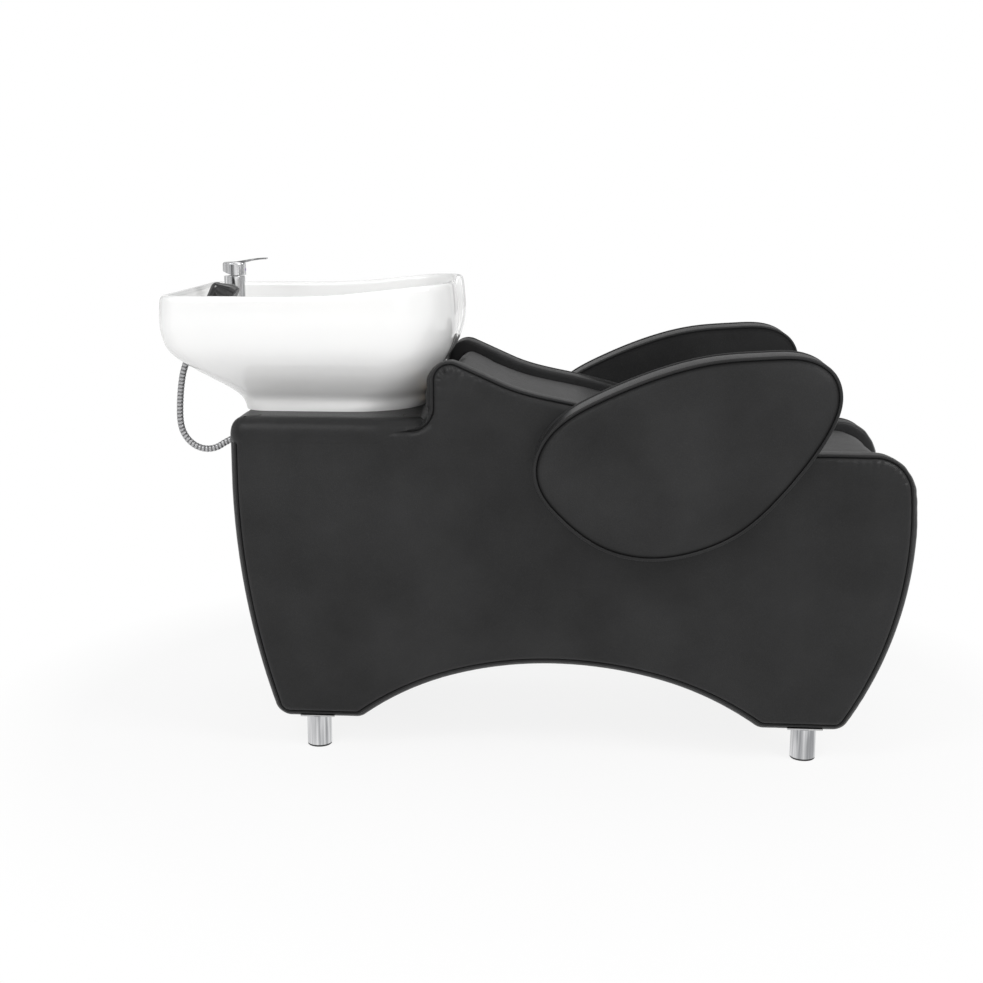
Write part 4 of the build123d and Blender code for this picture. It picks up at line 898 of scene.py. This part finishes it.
def shelf_roll():
    """The ledge's padding, drawn over both sides: a flat top, then a soft roll down to the sides' faces.

    A rounded oblong is carried over a profile of (inset, height) stations, and puckers lower the roll.
    """
    half = np.array(((-612.0, 256.0), (-290.0, 256.0), (-203.0, 228.0)))
    corners = np.concatenate([half, half[::-1] * (1, -1)])
    edges = [straight(*pair) for pair in zip(corners, np.roll(corners, -1, axis=0))]
    plan = evenly(joined(edges, [200, 20, 20, 200, 34, 34]), 6.0, 0.12)
    inset, height = np.array((
        (60, 693.8), (44, 693.8), (30, 693.5), (22, 692.3), (15.5, 689.6), (10, 685.2), (5.8, 679.6),
        (2.9, 673.0), (1.2, 666.0), (0.4, 659.0), (0.3, 653.0), (1.2, 647.0), (4.5, 640.0), (12.0, 637.0),
    ), float).T
    place = plan[None] - outwards(plan)[None] * inset[:, None, None]
    wave = ripple(around(plan), (26.0, 43.0, 80.0), 17)
    swell = np.exp(-((inset - 12) / 14) ** 2)
    heights = height[:, None] - 0.9 * swell[:, None] * (1 + wave[None])
    rings = np.concatenate([place, heights[..., None]], axis=-1).reshape(-1, 3)
    points, triangles = inner_field(place[0], 14.0)
    verts = np.concatenate([rings, with_height(points, height[0])]) * MM
    faces = grid_quads(len(inset), len(plan), columns_closed=True).tolist()
    faces += (triangles + len(rings)).tolist() + ring_ends(len(inset), len(plan))[1:]
    made = mesh_piece("shelf_padding", verts, faces, "upholstery")
    tidy_mesh(made, 0.0002)
    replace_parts(made, "shelf_pad")


shelf_roll()


# Basin (mm). Levels: share of the height or depth, then shares of the length at back and neck and of the width
HOSE_SIDE = -120.0
FOOT, HIGH, BACK, NECK, HALF = 694.0, 268.0, -751.5, -164.5, 246.0
DECK, FLOOR, UNDER, WALL, DRAIN = 884.0, 745.0, 726.0, 20.0, -430.0
OUTER_LEVELS = np.array((
    (0.0, 0.253, 0.877, 0.638), (0.03, 0.2535, 0.8755, 0.634), (0.082, 0.243, 0.878, 0.61),
    (0.164, 0.205, 0.899, 0.683), (0.306, 0.108, 0.934, 0.837), (0.459, 0.023, 0.977, 0.951),
    (0.619, 0.0, 1.0, 0.992), (0.825, 0.0, 1.0, 1.0), (1.0, 0.006, 0.991, 0.992),
))
BOWL_LEVELS = np.array((
    (0.0, 0.0, 1.0, 0.99), (0.317, 0.02, 0.988, 0.955), (0.604, 0.06, 0.956, 0.857),
    (0.82, 0.126, 0.893, 0.70), (0.95, 0.214, 0.772, 0.482), (1.0, 0.279, 0.643, 0.3125),
))
RIM_LEVELS = np.array((
    (-0.05, 0.0), (0.2, 0.0), (0.47, 0.02), (0.61, 0.16), (0.74, 0.48), (0.81, 0.64), (0.88, 0.8),
    (1.05, 1.0),
))
RIM_LOW, RIM_RISE = 934.0, 25.0
NOTCH_FLOOR, NOTCH_RADIUS, NOTCH_FLARE = 838, 75, 76 / 14
HOLE, DISH, DISH_DEPTH, DISH_EDGE = 22.3, 36.3, 3.2, 50.0


def section_basis(straight_count, corner_count, side_count, back_count):
    """How each point round a level depends on its back, neck, half width and its two corner radii.

    Columns: back, neck, back radius and neck radius for x, then half width, back radius, neck radius for y.
    The round starts at the middle of the neck and runs by the right side.
    """
    def run(count, start, end, columns):
        at = np.linspace(start, end, count, endpoint=False)
        return np.stack([np.broadcast_to(column, at.shape) for column in columns(at)], -1)

    quarter = math.pi / 2
    half = np.concatenate([
        run(straight_count, 0, 1, lambda f: (0, 1, 0, 0, -f, 0, f)),
        run(corner_count, 0, -quarter, lambda a: (0, 1, 0, np.cos(a) - 1, -1, 0, 1 + np.sin(a))),
        run(side_count, 0, 1, lambda f: (f, 1 - f, f, f - 1, -1, 0, 0)),
        run(corner_count, -quarter, -2 * quarter, lambda a: (1, 0, 1 + np.cos(a), 0, -1, 1 + np.sin(a), 0)),
        run(back_count, 0, 1, lambda f: (1, 0, 0, 0, f - 1, 1 - f, 0)),
    ])
    middle = np.array([[1.0, 0, 0, 0, 0, 0, 0]])
    return np.concatenate([half, middle, half[1:][::-1] * (1, 1, 1, 1, -1, -1, -1)])


BASIS = section_basis(46, 22, 44, 24)


def level(back, neck, half, back_radius, neck_radius):
    """A level's points (x, y), each argument a number or one value for each point round it."""
    x = BASIS[:, 0] * back + BASIS[:, 1] * neck + BASIS[:, 2] * back_radius + BASIS[:, 3] * neck_radius
    y = BASIS[:, 4] * half + BASIS[:, 5] * back_radius + BASIS[:, 6] * neck_radius
    return np.stack([x, y], -1)


def outer_level(up, inset=0.0):
    """The outside at a share of the height, drawn in by inset, its corners rounder towards the foot."""
    _, back, neck, width = np.moveaxis(smooth_through(OUTER_LEVELS[:, 0], OUTER_LEVELS, up), -1, 0)
    half = HALF * width - inset
    corner = half * (0.16 + 0.16 * (1 - np.minimum(1.0, up / 0.619)))
    front = half * (0.5 + 0.42 * np.clip(1 - up / 0.35, 0, 1) ** 1.5)
    length = NECK - BACK
    return level(BACK + length * back + inset, BACK + length * neck - inset, half, corner, front)


def bowl_level(down):
    """The bowl's inside at a share of its depth."""
    _, back, neck, width = np.moveaxis(smooth_through(BOWL_LEVELS[:, 0], BOWL_LEVELS, down), -1, 0)
    half = (HALF - WALL) * width
    rear = -600
    length = NECK - WALL - rear
    return level(rear + length * back, rear + length * neck, half, half * 0.45, half * 0.5)


def basin_shell():
    """The basin as one closed shell: from the waste hole below, out and down to the foot, up the outside,
    over the rim, down to the deck, into the bowl and back to the waste hole.

    The rim's height is a curve along the length, cut by the neck's U: a half circle with flared sides. The
    lower of the two is taken softly, as the negative log of the sum of their negative powers.
    """
    rim_plan = outer_level(np.full(len(BASIS), 0.93))
    share = (rim_plan[:, 0] - BACK) / (NECK - BACK)
    rim = RIM_LOW + RIM_RISE * smooth_through(RIM_LEVELS[:, 0], RIM_LEVELS[:, 1], share)
    across = np.abs(rim_plan[:, 1])
    beyond = np.maximum(0.0, across - NOTCH_RADIUS)
    round_part = np.sqrt(NOTCH_RADIUS**2 - np.minimum(across, NOTCH_RADIUS) ** 2)
    notch = NOTCH_FLOOR + NOTCH_RADIUS - round_part + beyond * NOTCH_FLARE
    notch = np.where(rim_plan[:, 0] > -300, notch, 9999.0)
    soft = 7.0
    rim = -soft * np.logaddexp(-rim / soft, -notch / soft)
    foot = outer_level(np.zeros(len(BASIS)), 18.0)
    angle = np.arctan2(foot[:, 1], foot[:, 0] - DRAIN)
    ring = np.stack([np.cos(angle), np.sin(angle)], -1)
    middle = (DRAIN, 0.0)
    lines = [
        with_height(middle + ring * HOLE, UNDER),
        with_height(foot, UNDER),
        with_height(foot, FOOT),
        with_height(outer_level(np.zeros(len(BASIS)), 1.5), FOOT),
    ]
    for step in np.linspace(0.01, 1.0, 46):
        height = FOOT + (rim - FOOT) * step
        lines.append(with_height(outer_level((height - FOOT) / HIGH), height))
    inner = level(BACK + WALL, NECK - WALL, HALF - WALL, HALF * 0.16, HALF * 0.5 - WALL)
    shelf = np.minimum(DECK, rim - 4.0)
    for step in np.linspace(0, 1, 10):
        lines.append(with_height(inner, rim + (shelf - rim) * step))
    lowest = (DECK - shelf) / (DECK - FLOOR)
    mouth = bowl_level(lowest)
    for step in np.linspace(0.15, 0.85, 5):
        lines.append(with_height(inner + (mouth - inner) * step, shelf))
    for step in np.linspace(0, 1, 26):
        down = lowest + (1 - lowest) * step
        lines.append(with_height(bowl_level(down), DECK - (DECK - FLOOR) * down))
    for reach, drop in ((DISH_EDGE, 0.0), (DISH, 0.2), (DISH, DISH_DEPTH), (HOLE, DISH_DEPTH)):
        lines.append(with_height(middle + ring * reach, FLOOR - drop))
    return np.stack(lines)


def even_lines(lines, count, passes, passes_round):
    """Each line from foot to bowl at even steps, then averaged along and round to soften the edges."""
    low, high = 3, len(lines) - 5
    body = lines[low : high + 1]
    size = np.linalg.norm(np.diff(body, axis=0), axis=2)
    along = np.concatenate([np.zeros((1, body.shape[1])), np.cumsum(size, axis=0)])
    at = np.linspace(0, 1, count)
    even = np.stack([
        np.stack([np.interp(at * run[-1], run, body[:, place, axis]) for axis in range(3)], -1)
        for place, run in enumerate(along.T)
    ], axis=1)
    for _ in range(passes):
        even[1:-1] = (even[:-2] + 2 * even[1:-1] + even[2:]) / 4
    for _ in range(passes_round):
        even = (np.roll(even, 1, axis=1) + 2 * even + np.roll(even, -1, axis=1)) / 4
    return np.concatenate([lines[:low], even, lines[high + 1 :]])


def cutter(name, rings):
    """A closed solid through rings of as many points (mm)."""
    rings = np.stack(rings)
    rows, columns = rings.shape[:2]
    mesh = bpy.data.meshes.new(name)
    faces = grid_quads(rows, columns, columns_closed=True).tolist() + ring_ends(rows, columns)
    mesh.from_pydata((rings.reshape(-1, 3) * MM).tolist(), [], faces)
    made = linked(name, mesh)
    tidy_mesh(made, WELD)
    return made


def round_cutter(name, middle, way, below, above, radius):
    """A cylinder along a direction in the XZ plane, from below to above a point (mm)."""
    middle, way = np.array(middle), np.array(way)
    side = np.cross(way, (0, 1, 0))
    angle = np.linspace(0, 2 * math.pi, 64, endpoint=False)[:, None]
    ring = middle + radius * (np.cos(angle) * side + np.sin(angle) * np.cross(way, side))
    return cutter(name, [ring - way * below, ring + way * above])


def make_basin():
    """The shell, with the hollow under its deck and the mixer's and the hand shower's holes cut out."""
    lines = even_lines(basin_shell(), 150, 5, 3)
    rows, columns = lines.shape[:2]
    made = mesh_piece(
        "washing_basin", lines.reshape(-1, 3) * MM,
        grid_quads(rows, columns, rows_closed=True, columns_closed=True), "ceramic",
    )
    tidy_mesh(made, WELD)
    tilt = math.radians(25.0)
    holder_way = (math.sin(tilt), 0, math.cos(tilt))
    hollow_top, hollow_front, wall = DECK - 16, -616.0, 14.0
    hollow = []
    for up in np.linspace(0.17, (hollow_top - FOOT) / HIGH, 12):
        plan = outer_level(np.full(len(BASIS), up), wall)
        plan[:, 0] = np.minimum(plan[:, 0], hollow_front)
        hollow.append(with_height(plan, FOOT + HIGH * up))
    mouth = level(-737.5, -656.0, 184.5, 20.0, 20.0)
    tools = [
        cutter("under_deck", hollow),
        cutter("under_mouth", [with_height(mouth, FOOT - 20), with_height(mouth, hollow_top - 10)]),
        round_cutter("mixer_hole", (-646.5, 0, DECK), (0, 0, 1), 40, 30, 17.5),
        round_cutter("holder_hole", (-681.0, HOSE_SIDE, DECK), holder_way, 30, 30, 17.3),
    ]
    for tool in tools:
        cut = made.modifiers.new(tool.name, "BOOLEAN")
        cut.operation, cut.solver, cut.object = "DIFFERENCE", "EXACT", tool
    settle(made)
    for tool in tools:
        bpy.data.objects.remove(tool)
    finished(made.data, finishes["ceramic"])
    made.data.set_sharp_from_angle(angle=math.radians(50))
    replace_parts(made, "basin")


make_basin()


# Shower hose: the control points of its line (x, z), which the visible loop follows
HOSE_LINE = (
    (-720.43, 799.44), (-731.4, 775.9), (-738.5, 738.0), (-742.2, 700.0), (-743.0, 664.0), (-736.7, 638.8),
    (-720.1, 617.5), (-695.6, 606.1), (-668.7, 608.5), (-646.9, 622.9), (-614.5, 638.7), (-584.5, 638.7),
)


def shower_hose():
    """The hose's loop: ribs carried along the smooth line of the route, with a plain length at each end.

    A rib's height is a raised cosine to the power 0.6, which keeps it broad and its grooves narrow.
    """
    curve = bpy.data.curves.new("hose_route", "CURVE")
    curve.dimensions = "3D"
    curve.resolution_u = 24
    spline = curve.splines.new("NURBS")
    spline.points.add(len(HOSE_LINE) - 1)
    knots = np.array([(x * MM, HOSE_SIDE * MM, z * MM, 1.0) for x, z in HOSE_LINE])
    spline.points.foreach_set("co", knots.ravel())
    spline.order_u = 3
    spline.use_endpoint_u = True
    route = linked("hose_route", curve)
    points = vectors(bpy.data.meshes.new_from_object(route))
    bpy.data.objects.remove(route)
    length = lengths(points)[-1]
    ribs, per_rib, sides, radius, groove, plain = 40, 14, 20, 7.0, 0.8, 0.014
    path = part_of(points, 0, length, ribs * per_rib)
    share = np.clip((lengths(path) - plain) / (length - 2 * plain), 0, 1)
    rib = (0.5 - 0.5 * np.cos(share * ribs * 2 * math.pi)) ** 0.6
    made = tube("hand_shower_hose", path, radius - groove * (1 - rib), False, "hose", sides=sides)
    point_values(made.data, "rib", np.repeat(rib, sides))
    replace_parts(made, "shower_hose")


shower_hose()


# Studio: a white floor and world, and soft lamps
LAMPS = (
    ("key_lamp", (-1.6, -2.2, 3.0), (0.0, 0.0, 0.5), (1.4, 1.4), 32),
    ("fill_lamp", (2.4, -1.4, 2.6), (0.2, 0.0, 0.5), (1.5, 1.5), 50),
    ("front_lamp", (-1.1, -3.4, 1.3), (-0.4, 0.0, 0.6), (2.2, 1.4), 29),
    ("top_lamp", (0.0, 0.6, 3.4), (0.0, 0.0, 0.4), (2.6, 1.4), 14),
)


def ray_masks(tree):
    """Masks for what is seen straight, mirrored or through glass, and for what is mirrored alone."""
    paths = tree.nodes.new("ShaderNodeLightPath")
    straight_on, mirrored, through = (
        Level(tree, paths.outputs[f"Is {kind} Ray"]) for kind in ("Camera", "Glossy", "Transmission")
    )
    return straight_on.at_least(mirrored).at_least(through), mirrored


def studio_floor():
    """A floor that keeps the bed's shadow near it and glows white where it is seen further off."""
    floor_mesh = bpy.data.meshes.new("studio_floor")
    reach, below = 12.0, -0.0002
    corners = [(x * reach, y * reach, below) for x, y in ((-1, -1), (1, -1), (1, 1), (-1, 1))]
    floor_mesh.from_pydata(corners, [], [(0, 1, 2, 3)])
    linked("studio_floor", floor_mesh)
    made = Finish("studio_white", (0.9, 0.9, 0.9), 0.9)
    seen, _ = ray_masks(made.tree)
    glow = made.node("ShaderNodeEmission", {}, {"Color": (1, 1, 1, 1), "Strength": 1.0})
    away = made.node("ShaderNodeVectorMath", {"operation": "LENGTH"}, {0: made.place}).outputs["Value"]
    bare = (Level(made.tree, away) * 0.5 - 0.5).at_least(0.0)
    blend = made.node(
        "ShaderNodeMixShader", {}, {0: seen * (bare + 0.86), 1: made.shader.outputs[0], 2: glow.outputs[0]}
    )
    output = made.tree.nodes["Material Output"]
    made.tree.links.new(blend.outputs[0], output.inputs["Surface"])
    floor_mesh.materials.append(made.material)


def studio_world():
    """A white world that lights softly, with dusky patches where it is mirrored."""
    world = bpy.data.worlds.new("studio_world")
    scene.world = world
    world.use_nodes = True
    tree = world.node_tree
    background = tree.nodes["Background"]
    background.inputs["Color"].default_value = (1.0, 1.0, 1.0, 1.0)
    seen, mirrored = ray_masks(tree)
    place = tree.nodes.new("ShaderNodeTexCoord")
    softbox = tree.nodes.new("ShaderNodeTexNoise")
    tree.links.new(place.outputs["Generated"], softbox.inputs["Vector"])
    softbox.inputs["Scale"].default_value, softbox.inputs["Detail"].default_value = 2.6, 1.0
    dusk = (1.0 - (Level(tree, softbox.outputs["Fac"]) * 5.0 - 2.0).at_least(0.0)).at_least(0.0)
    strength = 0.42 + seen * 0.58 - mirrored * dusk * 0.65
    tree.links.new(strength.socket, background.inputs["Strength"])


studio_floor()
studio_world()
for name, place, aim, size, power in LAMPS:
    lamp = bpy.data.lights.new(name, "AREA")
    lamp.shape = "RECTANGLE"
    lamp.size, lamp.size_y = size
    lamp.energy = power
    holder = linked(name, lamp)
    way = np.array(aim) - np.array(place)
    flat = math.hypot(way[0], way[1])
    holder.location = place
    holder.rotation_euler = (math.atan2(flat, -way[2]), 0.0, math.atan2(way[1], way[0]) - math.pi / 2)
    holder.visible_glossy = name != "front_lamp"
